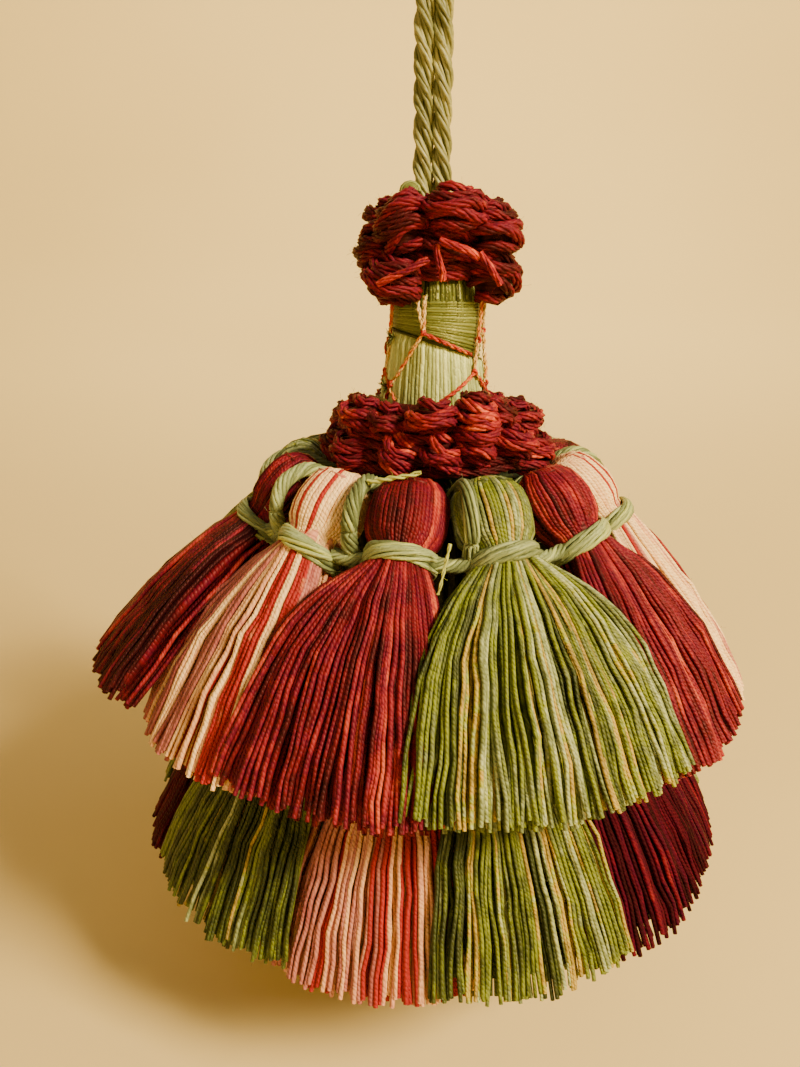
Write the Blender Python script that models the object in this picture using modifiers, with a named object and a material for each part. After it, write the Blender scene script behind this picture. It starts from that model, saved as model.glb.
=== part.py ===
"""A hand-made hanging tassel: a twisted loop, two wound ruffs, a thread-wound neck
with a knotted net, and two tiers of small cut tassels, each tied at its own neck.

Metres, +Z up. The origin is the top of the hanging loop, and the front faces -Y.
Azimuth 0 is the front, and a positive azimuth turns towards +X.
"""
import math
import random

import bmesh
import bpy
from mathutils import Vector

OBJECT_NAME = "hanging_tassel"
GAP = 0.0003

# Hanging cord: a doubled three-ply rope
CORD_DIAMETER = 0.0025
CORD_LEG_SPACING = 0.0028
CORD_OFFSET_X = -0.0007
CORD_FOOT_DROP = 0.0582
CORD_FORK_DROP = 0.0210
CORD_EYE_HALF_WIDTH = 0.0052
CORD_EYE_DROP = 0.0078
CORD_LAY = 0.0120
CORD_PLIES = 3
CORD_PLY_RISE = 0.10
CORD_SIDES = 9
CORD_STEP = 0.0019
CORD_LEG = (  # (distance from the loop's middle, drop)
    (CORD_LEG_SPACING / 2, CORD_FOOT_DROP),
    (CORD_LEG_SPACING / 2, 0.0500),
    (CORD_LEG_SPACING / 2, 0.0400),
    (CORD_LEG_SPACING / 2, 0.0300),
    (CORD_LEG_SPACING / 2, CORD_FORK_DROP),
    (0.0026, 0.0160),
    (0.0044, 0.0115),
    (CORD_EYE_HALF_WIDTH, CORD_EYE_DROP),
    (0.0043, 0.0042),
    (0.0023, 0.0019),
)

# Neck: a turned mould wound in floss, and the bell under the lower ruff
NECK_SIDES = 24
NECK_WINDING = (  # (radius, drop below the loop's top)
    (0.0050, 0.0586),
    (0.0058, 0.0598),
    (0.0062, 0.0622),
    (0.0062, 0.0648),
    (0.0059, 0.0672),
    (0.0053, 0.0681),
)
NECK_APRON = (
    (0.0056, 0.0684),
    (0.0063, 0.0688),
    (0.0066, 0.0706),
    (0.0072, 0.0738),
    (0.0076, 0.0770),
    (0.0077, 0.0850),
    (0.0090, 0.0886),
    (0.0158, 0.0889),
    (0.0168, 0.0896),
    (0.0174, 0.0930),
    (0.0172, 0.0990),
    (0.0157, 0.1060),
    (0.0156, 0.1140),
    (0.0130, 0.1195),
    (0.0060, 0.1200),
)

# Net over the neck: zigzag threads that meet at knots
NET_THREAD = 0.00066
NET_COLUMNS = 4
NET_STEPS = 2
NET_TURN_DEG = -14.0
NET_STAND_OFF = 0.0002
NET_KNOT_OVERLAP = 0.00012
NET_ROWS = (  # (drop of the row's knots, turn in half columns)
    (0.0629, 1),
    (0.0664, 0),
    (0.0722, 1),
    (0.0748, 0),
)

# Ruffs: one gathered gimp each, in lobes. Reach is the outer radius, and the two bores
# are the inner radii above and below the ruff's middle.
RUFF_RIDGE = 0.05
RUFF_RIDGES = 8
RUFF_PINCH = 0.80
RUFF_HEIGHT_SWELL = 0.75
UPPER_RUFF_DROP = 0.0547
UPPER_RUFF_MIDDLE = 0.0083
UPPER_RUFF_BORES = (0.0038, 0.0070)
UPPER_RUFF_START_DEG = -102.0
UPPER_RUFF_SAMPLES = 6
UPPER_RUFF = (  # (lobe's width in degrees, reach, lift, half height)
    (45.0, 0.0109, -0.0008, 0.0066),
    (45.0, 0.0112, 0.0003, 0.0070),
    (45.0, 0.0113, 0.0010, 0.0066),
    (45.0, 0.0120, -0.0004, 0.0074),
    (45.0, 0.0116, -0.0006, 0.0072),
    (45.0, 0.0112, 0.0002, 0.0070),
    (45.0, 0.0114, 0.0006, 0.0068),
    (45.0, 0.0110, -0.0002, 0.0072),
)
LOWER_RUFF_DROP = 0.0795
LOWER_RUFF_MIDDLE = 0.0126
LOWER_RUFF_BORES = (0.0082, 0.0082)
LOWER_RUFF_START_DEG = -95.0
LOWER_RUFF_SAMPLES = 4
LOWER_RUFF = (  # (lobe's width in degrees, reach, lift, half height)
    (33.0, 0.0166, 0.0000, 0.0052),
    (31.0, 0.0170, 0.0006, 0.0058),
    (18.0, 0.0164, -0.0010, 0.0046),
    (24.0, 0.0168, 0.0004, 0.0056),
    (27.0, 0.0172, 0.0006, 0.0056),
    (25.0, 0.0172, 0.0000, 0.0052),
    (32.0, 0.0175, -0.0008, 0.0052),
    (29.0, 0.0168, 0.0004, 0.0054),
    (28.0, 0.0172, -0.0004, 0.0054),
    (30.0, 0.0167, 0.0004, 0.0056),
    (27.0, 0.0171, 0.0000, 0.0052),
    (29.0, 0.0168, 0.0005, 0.0055),
    (27.0, 0.0170, -0.0005, 0.0052),
)

# Small tassels: distances run along each one's own slanting axis from its tie
SKIRT_BULGE = 0.0014
SKIRT_END_THICKNESS = 0.0050
LOCK_GAP = 0.00032
LOCK_UNEVEN = 0.0005
LOCK_LEAN = 0.30
LOCK_SPREAD_POWER = 7
LOCK_EDGE_THINNING = 0.35
LOCK_SEED = 7
HEAD_FAN_DEG = 150.0
WAIST_HALF = 0.0013
WAIST_RADIUS = 0.0037
WAIST_DEPTH = 0.0035
BAND_HALF = 0.0011
BAND_THICKNESS = 0.0009
BAND_CLEARANCE = 0.0006
BAND_SIDES = 9
LINK_RADIUS = 0.0010
LINK_SINK = 0.6
LOCK_LEVELS = (0.24, 1.0)  # shares of a lock's length, below its root

UPPER_TIER = {
    "name": "upper_tassel",
    "tie": (0.0246, 0.0924),  # (radius, drop)
    "foot": (0.0436, 0.1160),  # (radius, drop)
    "head": (  # (distance above the tie, half width, half depth)
        (0.0104, 0.0031, 0.0023),
        (0.0088, 0.0046, 0.0038),
        (0.0058, 0.0051, 0.0046),
        (0.0030, 0.0049, 0.0043),
    ),
    "crown": 0.0109,
    "columns": 6,
    "around": (  # (colour, azimuth of the tie, azimuth of the skirt's right edge, foot raised by)
        ("red", -76.0, -62.0, 0.0038),
        ("cream", -41.5, -34.0, 0.0),
        ("red", -11.5, -3.0, 0.0),
        ("green", 18.0, 37.0, 0.0),
        ("red", 47.5, 61.0, 0.0),
        ("cream", 77.0, 91.0, 0.0),
        ("red", 106.5, 118.0, 0.0),
        ("green", 137.0, 155.0, 0.0),
        ("red", 167.0, 181.0, 0.0),
        ("cream", 196.0, 210.0, 0.0),
        ("red", 225.0, 237.0, 0.0),
        ("green", 254.0, 269.0, 0.0),
    ),
}
LOWER_TIER = {
    "name": "lower_tassel",
    "tie": (0.0238, 0.1163),  # (radius, drop)
    "foot": (0.0417, 0.1406),  # (radius, drop)
    "head": (  # (distance above the tie, half width, half depth)
        (0.0084, 0.0038, 0.0034),
        (0.0052, 0.0050, 0.0045),
    ),
    "crown": 0.0102,
    "columns": 4,
    "around": (  # (colour, azimuth of the tie, azimuth of the skirt's right edge, foot raised by)
        ("red", -76.0, -62.0, 0.0),
        ("green", -46.5, -29.0, 0.0),
        ("cream", -14.5, 1.0, 0.0),
        ("green", 16.5, 29.5, 0.0),
        ("red", 45.0, 57.0, 0.0),
        ("red", 74.0, 89.0, 0.0),
        ("green", 104.0, 119.0, 0.0),
        ("cream", 134.0, 149.0, 0.0),
        ("green", 164.0, 179.0, 0.0),
        ("red", 194.0, 209.0, 0.0),
        ("cream", 224.0, 239.0, 0.0),
        ("green", 254.0, 269.0, 0.0),
    ),
}

# Hangers: the twisted floss that drops between the heads of the upper tier
HANGER_RADIUS = 0.0009
HANGER_ROUTE = (  # (radius, drop)
    (0.0130, 0.0873),
    (0.0165, 0.0855),
    (0.0204, 0.0838),
    (0.0235, 0.0852),
    (0.0248, 0.0880),
    (0.0246, 0.0906),
)

CURVE_PARTS = 24
COLOURS = {
    "red": (0.22, 0.012, 0.016, 1.0),
    "cream": (0.78, 0.60, 0.42, 1.0),
    "green": (0.16, 0.19, 0.05, 1.0),
    "sage": (0.33, 0.38, 0.20, 1.0),
    "crimson": (0.19, 0.010, 0.016, 1.0),
    "net": (0.62, 0.18, 0.08, 1.0),
}


def clear_scene():
    for item in list(bpy.data.objects):
        bpy.data.objects.remove(item, do_unlink=True)


def make_collection(name):
    collection = bpy.data.collections.new(name)
    bpy.context.scene.collection.children.link(collection)
    return collection


def make_material(name, colour, roughness=0.8):
    material = bpy.data.materials.new(name)
    material.use_nodes = True
    shader = material.node_tree.nodes["Principled BSDF"]
    shader.inputs["Base Color"].default_value = colour
    shader.inputs["Roughness"].default_value = roughness
    return material


def polar(radius, azimuth, drop):
    """A point at a radius and azimuth (radians) round the axis, below the loop's top."""
    return Vector((radius * math.sin(azimuth), -radius * math.cos(azimuth), -drop))


def mesh_object(name, bm, collection, colour):
    bmesh.ops.recalc_face_normals(bm, faces=bm.faces)
    mesh = bpy.data.meshes.new(name)
    bm.to_mesh(mesh)
    bm.free()
    item = bpy.data.objects.new(name, mesh)
    collection.objects.link(item)
    mesh.materials.append(make_material(name, COLOURS[colour]))
    return item


def loft(rings):
    """A closed tube through rings of equal count, with a flat cap at each end."""
    bm = bmesh.new()
    loops = [[bm.verts.new(point) for point in ring] for ring in rings]
    count = len(loops[0])
    for first, second in zip(loops, loops[1:]):
        for index in range(count):
            following = (index + 1) % count
            bm.faces.new((first[index], first[following], second[following], second[index]))
    bm.faces.new(list(reversed(loops[0])))
    bm.faces.new(loops[-1])
    return bm


def smooth_points(points, step):
    """Points read at an even step from a smooth curve through the route's points."""
    ends = [2 * points[0] - points[1]] + list(points) + [2 * points[-1] - points[-2]]
    dense = []
    for index in range(1, len(ends) - 2):
        before, start, stop, after = ends[index - 1:index + 3]
        for part in range(CURVE_PARTS):
            t = part / CURVE_PARTS
            dense.append(0.5 * (
                2 * start + (stop - before) * t
                + (2 * before - 5 * start + 4 * stop - after) * t * t
                + (3 * start - before - 3 * stop + after) * t * t * t
            ))
    dense.append(ends[-2])
    lengths = [0.0]
    for first, second in zip(dense, dense[1:]):
        lengths.append(lengths[-1] + (second - first).length)
    count = max(2, round(lengths[-1] / step))
    result = []
    place = 0
    for number in range(count + 1):
        wanted = lengths[-1] * number / count
        while place < len(dense) - 2 and lengths[place + 1] < wanted:
            place += 1
        span = lengths[place + 1] - lengths[place]
        result.append(dense[place].lerp(dense[place + 1], (wanted - lengths[place]) / span))
    return result


def cord_route():
    """The hanging cord's centre line: up one leg, round the eye and down the other."""
    first_leg = [(-x, drop) for x, drop in CORD_LEG]
    top = [(0.0, CORD_DIAMETER / 2)]
    points = []
    for x, drop in first_leg + top + list(reversed(CORD_LEG)):
        shift = CORD_OFFSET_X * min(1.0, drop / CORD_FORK_DROP)
        points.append(Vector((x + shift, 0.0, -drop)))
    return smooth_points(points, CORD_STEP)


def build_cord(collection):
    route = cord_route()
    rings = []
    for index, point in enumerate(route):
        before = route[max(index - 1, 0)]
        after = route[min(index + 1, len(route) - 1)]
        along = (after - before).normalized()
        side = Vector((0.0, 1.0, 0.0))
        across = along.cross(side)
        turn = 2 * math.pi * index * CORD_STEP / CORD_LAY
        ring = []
        for corner in range(CORD_SIDES):
            angle = 2 * math.pi * corner / CORD_SIDES
            rise = CORD_PLY_RISE * (math.cos(CORD_PLIES * angle) - 1.0)
            radius = CORD_DIAMETER / 2 * (1.0 + rise)
            spun = angle - turn
            ring.append(point + radius * (math.cos(spun) * side + math.sin(spun) * across))
        rings.append(ring)
    return mesh_object("hanging_cord", loft(rings), collection, "sage")


def build_turned(name, profile, collection, colour):
    """A turned solid: a profile from the axis, down its outer side and back to the axis."""
    bm = bmesh.new()
    points = [(0.0, profile[0][1])] + list(profile) + [(0.0, profile[-1][1])]
    line = [bm.verts.new((radius, 0.0, -drop)) for radius, drop in points]
    for first, second in zip(line, line[1:]):
        bm.edges.new((first, second))
    mesh = bpy.data.meshes.new(name)
    bm.to_mesh(mesh)
    bm.free()
    item = bpy.data.objects.new(name, mesh)
    collection.objects.link(item)
    mesh.materials.append(make_material(name, COLOURS[colour]))
    screw = item.modifiers.new("Turn", "SCREW")
    screw.steps = NECK_SIDES
    screw.render_steps = NECK_SIDES
    screw.use_merge_vertices = True
    screw.merge_threshold = 0.00001
    return item


def profile_radius(profile, drop):
    for (upper_radius, upper), (lower_radius, lower) in zip(profile, profile[1:]):
        if upper <= drop <= lower:
            return upper_radius + (lower_radius - upper_radius) * (drop - upper) / (lower - upper)
    return profile[0][0] if drop < profile[0][1] else profile[-1][0]


def neck_radius(drop):
    widest = max(radius for radius, height in NECK_WINDING)
    if drop < NECK_APRON[1][1]:
        return max(widest, NECK_APRON[1][0])
    return max(widest, profile_radius(NECK_APRON, drop))


def net_zigzag(upper, lower):
    """One zigzag thread round the neck between two rows, as a closed tube of four sides."""
    clearance = GAP + NET_THREAD / 2 + NET_STAND_OFF
    half = math.pi / NET_COLUMNS
    turn = math.radians(NET_TURN_DEG)
    corners = []
    for index in range(2 * NET_COLUMNS):
        drop = upper[0] - NET_KNOT_OVERLAP if index % 2 else lower[0] + NET_KNOT_OVERLAP
        corners.append(((index + upper[1] + 1) * half + turn, drop))
    points = []
    for index, (angle, drop) in enumerate(corners):
        following = corners[(index + 1) % len(corners)]
        for step in range(NET_STEPS):
            share = step / NET_STEPS
            height = drop + (following[1] - drop) * share
            points.append(polar(neck_radius(height) + clearance, angle + half * share, height))
    return points


def tube_mesh(name, points, radius, closed, resolution):
    """A round tube along points, as a mesh with its caps welded."""
    curve = bpy.data.curves.new(name, "CURVE")
    curve.dimensions = "3D"
    curve.bevel_depth = radius
    curve.bevel_resolution = resolution
    curve.use_fill_caps = not closed
    spline = curve.splines.new("POLY")
    spline.points.add(len(points) - 1)
    for target, point in zip(spline.points, points):
        target.co = (point.x, point.y, point.z, 1.0)
    spline.use_cyclic_u = closed
    item = bpy.data.objects.new(name, curve)
    bpy.context.scene.collection.objects.link(item)
    bpy.context.view_layer.update()
    graph = bpy.context.evaluated_depsgraph_get()
    mesh = bpy.data.meshes.new_from_object(item.evaluated_get(graph))
    bpy.data.objects.remove(item, do_unlink=True)
    bpy.data.curves.remove(curve)
    bm = bmesh.new()
    bm.from_mesh(mesh)
    bpy.data.meshes.remove(mesh)
    bmesh.ops.remove_doubles(bm, verts=bm.verts, dist=0.000001)
    return bm


def unite(item, others):
    """Boolean unions of the item with each cutter in turn."""
    for number, other in enumerate(others):
        union = item.modifiers.new("Union.%02d" % number, "BOOLEAN")
        union.operation = "UNION"
        union.solver = "EXACT"
        union.object = other


def as_cutter(item):
    item.hide_render = True
    item.display_type = "WIRE"
    return item


def build_net(collection, cutters):
    threads = []
    for index, (upper, lower) in enumerate(zip(NET_ROWS, NET_ROWS[1:])):
        bm = tube_mesh("net_thread", net_zigzag(upper, lower), NET_THREAD / 2, True, 0)
        home = collection if index == 0 else cutters
        name = "neck_net" if index == 0 else "net_thread_%d" % index
        threads.append(mesh_object(name, bm, home, "net"))
    unite(threads[0], [as_cutter(thread) for thread in threads[1:]])
    return threads[0]


def build_ruff(name, lobes, start_deg, drop, middle, bores, samples, collection):
    """A torus whose points are moved into gathered lobes with raised windings."""
    count = len(lobes) * samples
    ridges = RUFF_RIDGES
    bpy.ops.mesh.primitive_torus_add(
        major_segments=count,
        minor_segments=2 * ridges,
        major_radius=1.0,
        minor_radius=0.25,
    )
    item = bpy.context.active_object
    item.name = name
    item.data.name = name
    for owner in list(item.users_collection):
        owner.objects.unlink(item)
    collection.objects.link(item)
    starts = [start_deg]
    for lobe in lobes:
        starts.append(starts[-1] + lobe[0])
    for vertex in item.data.vertices:
        x, y, z = vertex.co
        round_axis = round((math.atan2(y, x) / (2 * math.pi) % 1.0) * count) % count
        section = math.atan2(z, math.hypot(x, y) - 1.0)
        step = round((section / (2 * math.pi) % 1.0) * 2 * ridges) % (2 * ridges)
        number, inside = divmod(round_axis, samples)
        share = inside / samples
        width, reach, lift, height = lobes[number]
        if inside == 0:
            last = lobes[number - 1]
            reach = (reach + last[1]) / 2
            lift = (lift + last[2]) / 2
            height = (height + last[3]) / 2
        swell = math.sqrt(1.0 - RUFF_PINCH * (2 * share - 1.0) ** 2)
        tall = 1.0 - RUFF_HEIGHT_SWELL * (1.0 - swell)
        ridge = 1.0 + (RUFF_RIDGE if step % 2 else -RUFF_RIDGE)
        above = step <= ridges
        inward = middle - bores[0 if above else 1]
        half = (reach - middle) * swell * ridge if math.cos(section) > 0 else inward
        out = half * math.cos(section)
        up = height * tall * ridge * math.sin(section)
        azimuth = math.radians(starts[number] + width * share)
        vertex.co = polar(middle + out, azimuth, drop - lift - up)
    item.data.materials.append(make_material(name, COLOURS["crimson"]))
    bm = bmesh.new()
    bm.from_mesh(item.data)
    bmesh.ops.recalc_face_normals(bm, faces=bm.faces)
    bm.to_mesh(item.data)
    bm.free()
    return item


class SmallTassel:
    """One small tassel of a tier, with its own axes: along, out and sideways."""

    def __init__(self, tier, index):
        rows = tier["around"]
        self.tier = tier
        self.colour, azimuth, right_edge, raised = rows[index]
        left_edge = rows[index - 1][2] - (360.0 if index == 0 else 0.0)
        self.azimuth = math.radians(azimuth)
        self.reach = (math.radians(azimuth - left_edge), math.radians(right_edge - azimuth))
        tie_radius, tie_drop = tier["tie"]
        run = tier["foot"][0] - tie_radius
        fall = tier["foot"][1] - tie_drop
        self.length = math.hypot(run, fall)
        self.slope = math.atan2(fall, run)
        self.skirt_slope = math.atan2(fall - raised, run + raised)
        self.name = "%s_%02d" % (tier["name"], index + 1)

    def place(self, side, out, along):
        """A point from sideways, outward and along distances, wrapped round the main axis."""
        slope = self.skirt_slope if along > WAIST_HALF else self.slope
        radius = self.tier["tie"][0] + math.cos(slope) * along + math.sin(slope) * out
        drop = self.tier["tie"][1] + math.sin(slope) * along - math.cos(slope) * out
        return polar(radius, self.azimuth + side / radius, drop)


def grid_angles(columns):
    """Angles of the front row's points on a waist section, side to side."""
    fan = math.radians(HEAD_FAN_DEG)
    return [fan * (i / columns - 0.5) for i in range(columns + 1)]


def section_points(tassel, width, depth, along):
    """The closed outline of a head's section: front row, right, back row, left."""
    front = grid_angles(tassel.tier["columns"])
    angles = front + [math.pi / 2] + [math.pi - angle for angle in reversed(front)]
    angles.append(1.5 * math.pi)
    return [
        tassel.place(width * math.sin(angle), depth * math.cos(angle), along)
        for angle in angles
    ]


def lock_corner(tassel, share, edge, depth, gap_side, gap_depth, extra):
    """A lock's corner: share runs down the skirt, edge side to side, depth -1, 0 or 1."""
    reach = tassel.reach[1 if edge > 0 else 0]
    lean = LOCK_LEAN * edge
    along = WAIST_HALF + (tassel.length + extra - WAIST_HALF) * share * math.cos(lean)
    radius = tassel.tier["tie"][0] + math.cos(tassel.skirt_slope) * along
    spread = 1.0 - (1.0 - share) ** LOCK_SPREAD_POWER
    foot_side = reach * radius - LOCK_GAP
    side = edge * (WAIST_RADIUS + (foot_side - WAIST_RADIUS) * spread) + gap_side * LOCK_GAP / 2
    thickness = 2 * WAIST_DEPTH + (SKIRT_END_THICKNESS - 2 * WAIST_DEPTH) * share
    thickness *= 1.0 - LOCK_EDGE_THINNING * edge * edge
    out = 4 * SKIRT_BULGE * share * (1.0 - share) + depth * thickness / 2
    return tassel.place(side, out + gap_depth * LOCK_GAP / 2, along)


def add_wall(bm, upper, lower):
    """A lock's side wall as two triangles, with the diagonal its neighbour also has."""
    first, second = upper
    third, fourth = lower
    bm.faces.new((first, second, fourth))
    bm.faces.new((first, fourth, third))


def build_small_tassel(tassel, collection, rng):
    """A head, its waist and the locks, which are apart below the waist they grow from."""
    tier = tassel.tier
    columns = tier["columns"]
    bm = bmesh.new()
    sections = [section_points(tassel, w, d, -along) for along, w, d in tier["head"]]
    sections.append(section_points(tassel, WAIST_RADIUS, WAIST_DEPTH, -WAIST_HALF))
    sections.append(section_points(tassel, WAIST_RADIUS, WAIST_DEPTH, WAIST_HALF))
    rings = [[bm.verts.new(point) for point in section] for section in sections]
    crown = bm.verts.new(tassel.place(0.0, 0.0, -tier["crown"]))
    count = len(rings[0])
    for index in range(count):
        following = (index + 1) % count
        bm.faces.new((crown, rings[0][index], rings[0][following]))
        for upper, lower in zip(rings, rings[1:]):
            bm.faces.new((upper[index], lower[index], lower[following], upper[following]))

    root = rings[-1]
    front = root[:columns + 1]
    back = list(reversed(root[columns + 2:2 * columns + 3]))
    middle = [root[-1]]
    for i in range(1, columns):
        side = WAIST_RADIUS * math.sin(math.pi * (i / columns - 0.5))
        middle.append(bm.verts.new(tassel.place(side, 0.0, WAIST_HALF)))
    middle.append(root[columns + 1])

    for row, outer, inner in ((1, front, middle), (-1, middle, back)):
        for i in range(columns):
            extra = rng.uniform(-LOCK_UNEVEN, LOCK_UNEVEN)
            corners = {
                "FL": outer[i], "FR": outer[i + 1],
                "BL": inner[i], "BR": inner[i + 1],
            }
            for share in LOCK_LEVELS:
                nearer = {}
                for key in corners:
                    edge = 2 * (i + (key[1] == "R")) / columns - 1
                    depth = max(row, 0) if key[0] == "F" else min(row, 0)
                    gap_side = 1 if key[1] == "L" else -1
                    gap_depth = -1 if key[0] == "F" else 1
                    nearer[key] = bm.verts.new(
                        lock_corner(tassel, share, edge, depth, gap_side, gap_depth, extra))
                for first, second in (("FL", "FR"), ("BL", "BR"), ("FL", "BL"), ("FR", "BR")):
                    add_wall(bm, (corners[first], corners[second]), (nearer[first], nearer[second]))
                corners = nearer
            bm.faces.new((corners["FL"], corners["FR"], corners["BR"], corners["BL"]))
    return mesh_object(tassel.name, bm, collection, tassel.colour)


def band_mesh(tassel):
    """The floss band round a small tassel's waist, as a flat-sided ring."""
    bm = bmesh.new()
    loops = []
    outer = BAND_CLEARANCE + BAND_THICKNESS
    rows = ((BAND_CLEARANCE, -BAND_HALF), (outer, 0.0), (BAND_CLEARANCE, BAND_HALF))
    for grow, along in rows:
        loop = []
        for corner in range(BAND_SIDES):
            angle = 2 * math.pi * (corner + 0.5) / BAND_SIDES
            side = (WAIST_RADIUS + grow) * math.sin(angle)
            out = (WAIST_DEPTH + grow) * math.cos(angle)
            loop.append(bm.verts.new(tassel.place(side, out, along)))
        loops.append(loop)
    for first, second in zip(loops, loops[1:] + loops[:1]):
        for index in range(BAND_SIDES):
            following = (index + 1) % BAND_SIDES
            bm.faces.new((first[index], first[following], second[following], second[index]))
    return bm


def link_points(first, second):
    """The ends of the twisted link from one band's side to the next one's."""
    reach = WAIST_RADIUS + GAP + BAND_THICKNESS * LINK_SINK
    return [first.place(reach, 0.0, 0.0), second.place(-reach, 0.0, 0.0)]


def build_tie_ring(name, tassels, collection, cutters):
    """All bands of a tier and the links between them, as one thread's solid."""
    pieces = []
    for index, tassel in enumerate(tassels):
        home = collection if index == 0 else cutters
        label = name if index == 0 else "%s_band_%02d" % (name, index)
        pieces.append(mesh_object(label, band_mesh(tassel), home, "sage"))
    for index, tassel in enumerate(tassels):
        following = tassels[(index + 1) % len(tassels)]
        bm = tube_mesh("link", link_points(tassel, following), LINK_RADIUS, False, 0)
        pieces.append(mesh_object("%s_link_%02d" % (name, index), bm, cutters, "sage"))
    unite(pieces[0], [as_cutter(piece) for piece in pieces[1:]])
    return pieces[0]


def build_hanger(tassel, following, number, collection):
    span = (following.azimuth - tassel.azimuth) % (2 * math.pi)
    azimuth = tassel.azimuth + span / 2
    points = [polar(radius, azimuth, drop) for radius, drop in HANGER_ROUTE]
    bm = tube_mesh("hanger", points, HANGER_RADIUS, False, 1)
    return mesh_object("hanger_%02d" % number, bm, collection, "sage")


def main():
    clear_scene()
    parts = make_collection(OBJECT_NAME)
    cutters = make_collection("cutters")
    rng = random.Random(LOCK_SEED)

    build_cord(parts)
    build_ruff("upper_ruff", UPPER_RUFF, UPPER_RUFF_START_DEG, UPPER_RUFF_DROP,
               UPPER_RUFF_MIDDLE, UPPER_RUFF_BORES, UPPER_RUFF_SAMPLES, parts)
    build_turned("neck_winding", NECK_WINDING, parts, "sage")
    build_turned("neck_apron", NECK_APRON, parts, "sage")
    build_net(parts, cutters)
    build_ruff("lower_ruff", LOWER_RUFF, LOWER_RUFF_START_DEG, LOWER_RUFF_DROP,
               LOWER_RUFF_MIDDLE, LOWER_RUFF_BORES, LOWER_RUFF_SAMPLES, parts)

    for tier, ring_name in ((UPPER_TIER, "upper_tie_ring"), (LOWER_TIER, "lower_tie_ring")):
        tassels = [SmallTassel(tier, index) for index in range(len(tier["around"]))]
        for tassel in tassels:
            build_small_tassel(tassel, parts, rng)
        build_tie_ring(ring_name, tassels, parts, cutters)
        if tier is UPPER_TIER:
            for number, tassel in enumerate(tassels):
                following = tassels[(number + 1) % len(tassels)]
                build_hanger(tassel, following, number + 1, parts)


main()
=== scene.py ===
"""The dressed hanging tassel: plied cord, wound ruffs, netted neck and two tiers of tassels.

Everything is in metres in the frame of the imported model: the origin is the top of the
hanging loop, +Z is up, the front faces -Y and an azimuth turns from the front towards +X.
A drop is a distance below the loop's top.
"""
import logging
import math
import random
from collections.abc import Callable
from dataclasses import dataclass, field
from enum import Enum
from functools import partial

import bpy
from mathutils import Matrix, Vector


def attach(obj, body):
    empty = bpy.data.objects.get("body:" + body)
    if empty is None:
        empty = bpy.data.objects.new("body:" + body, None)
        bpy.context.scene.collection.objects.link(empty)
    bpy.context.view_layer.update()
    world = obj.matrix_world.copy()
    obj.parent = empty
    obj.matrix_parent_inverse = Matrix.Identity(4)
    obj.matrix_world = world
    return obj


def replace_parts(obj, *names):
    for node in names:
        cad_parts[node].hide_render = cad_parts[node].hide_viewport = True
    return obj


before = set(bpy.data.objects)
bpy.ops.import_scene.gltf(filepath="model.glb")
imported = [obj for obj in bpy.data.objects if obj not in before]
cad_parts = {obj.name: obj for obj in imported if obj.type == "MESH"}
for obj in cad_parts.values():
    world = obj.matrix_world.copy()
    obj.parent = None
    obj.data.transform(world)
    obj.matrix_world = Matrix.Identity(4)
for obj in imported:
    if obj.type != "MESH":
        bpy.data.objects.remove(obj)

LOG = logging.getLogger("tassel")
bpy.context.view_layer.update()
CURVE_PARTS = 24
TURN = 2 * math.pi

MATHS = "ShaderNodeMath"
LOOSE = 1.6  # how soon a strand is free to wander, as its length over the way to that place

Table = tuple[tuple[float, ...], ...]
Adder = Callable[..., bpy.types.Node]  # add_node for one tree
Linkable = bpy.types.NodeSocket | bpy.types.Node


def linear(code: str) -> tuple[float, float, float, float]:
    """Turns an sRGB hex colour to linear light.

    Args:
        code: Six hex digits.

    Returns:
        Red, green, blue and an alpha of one.
    """
    values = []
    for place in (0, 2, 4):
        value = int(code[place:place + 2], 16) / 255
        values.append(value / 12.92 if value <= 0.04045 else ((value + 0.055) / 1.055) ** 2.4)
    return values[0], values[1], values[2], 1.0


def add_node(
    tree: bpy.types.NodeTree, kind: str, inputs: dict | tuple | list = (), **settings: object,
) -> bpy.types.Node:
    """Adds a node with its settings and links.

    Args:
        tree: The tree that gets the node.
        kind: The node's type name.
        inputs: Socket name or number to a value, to an output that is linked to it, or to a
            node whose first output is. A plain row of them fills the first sockets.
        settings: Values of the node's own properties.

    Returns:
        The new node.
    """
    node = tree.nodes.new(kind)
    for key, value in settings.items():
        setattr(node, key, value)
    for key, value in (inputs if isinstance(inputs, dict) else dict(enumerate(inputs))).items():
        value = value.outputs[0] if isinstance(value, bpy.types.Node) else value
        if isinstance(value, bpy.types.NodeSocket):
            tree.links.new(value, node.inputs[key])
        else:
            node.inputs[key].default_value = value
    return node


def start_material(name: str) -> tuple[bpy.types.Material, Adder]:
    """Makes an empty material.

    Args:
        name: Its name.

    Returns:
        The material, and add_node for its tree.
    """
    material = bpy.data.materials.new(name)
    material.use_nodes = True
    material.node_tree.nodes.clear()
    return material, partial(add_node, material.node_tree)


def polar(radius: float, azimuth: float, drop: float) -> Vector:
    """A point at a radius and azimuth (radians) round the axis, below the loop's top."""
    return Vector((radius * math.sin(azimuth), -radius * math.cos(azimuth), -drop))


def angles(count: int, start: float = 0.5) -> list[float]:
    """Even angles once round, from a share of a turn behind the front."""
    return [TURN * (part / count + start) for part in range(count)]


def drape(ends: list[float], shares: list[float], bow: float = 0.0) -> list[Vector]:
    """A route from one place on the tassel to another.

    Args:
        ends: Azimuth in degrees, and drop and radius in millimetres, at both ends.
        shares: Shares of the way where it has points.
        bow: How far its middle stands out, in millimetres.

    Returns:
        The route's points.
    """
    one, high, near, two, low, far = ends
    return [polar((near + (far - near) * share + bow * math.sin(math.pi * share)) / 1000,
                  math.radians(one + (two - one) * share),
                  (high + (low - high) * share) / 1000) for share in shares]


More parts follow.
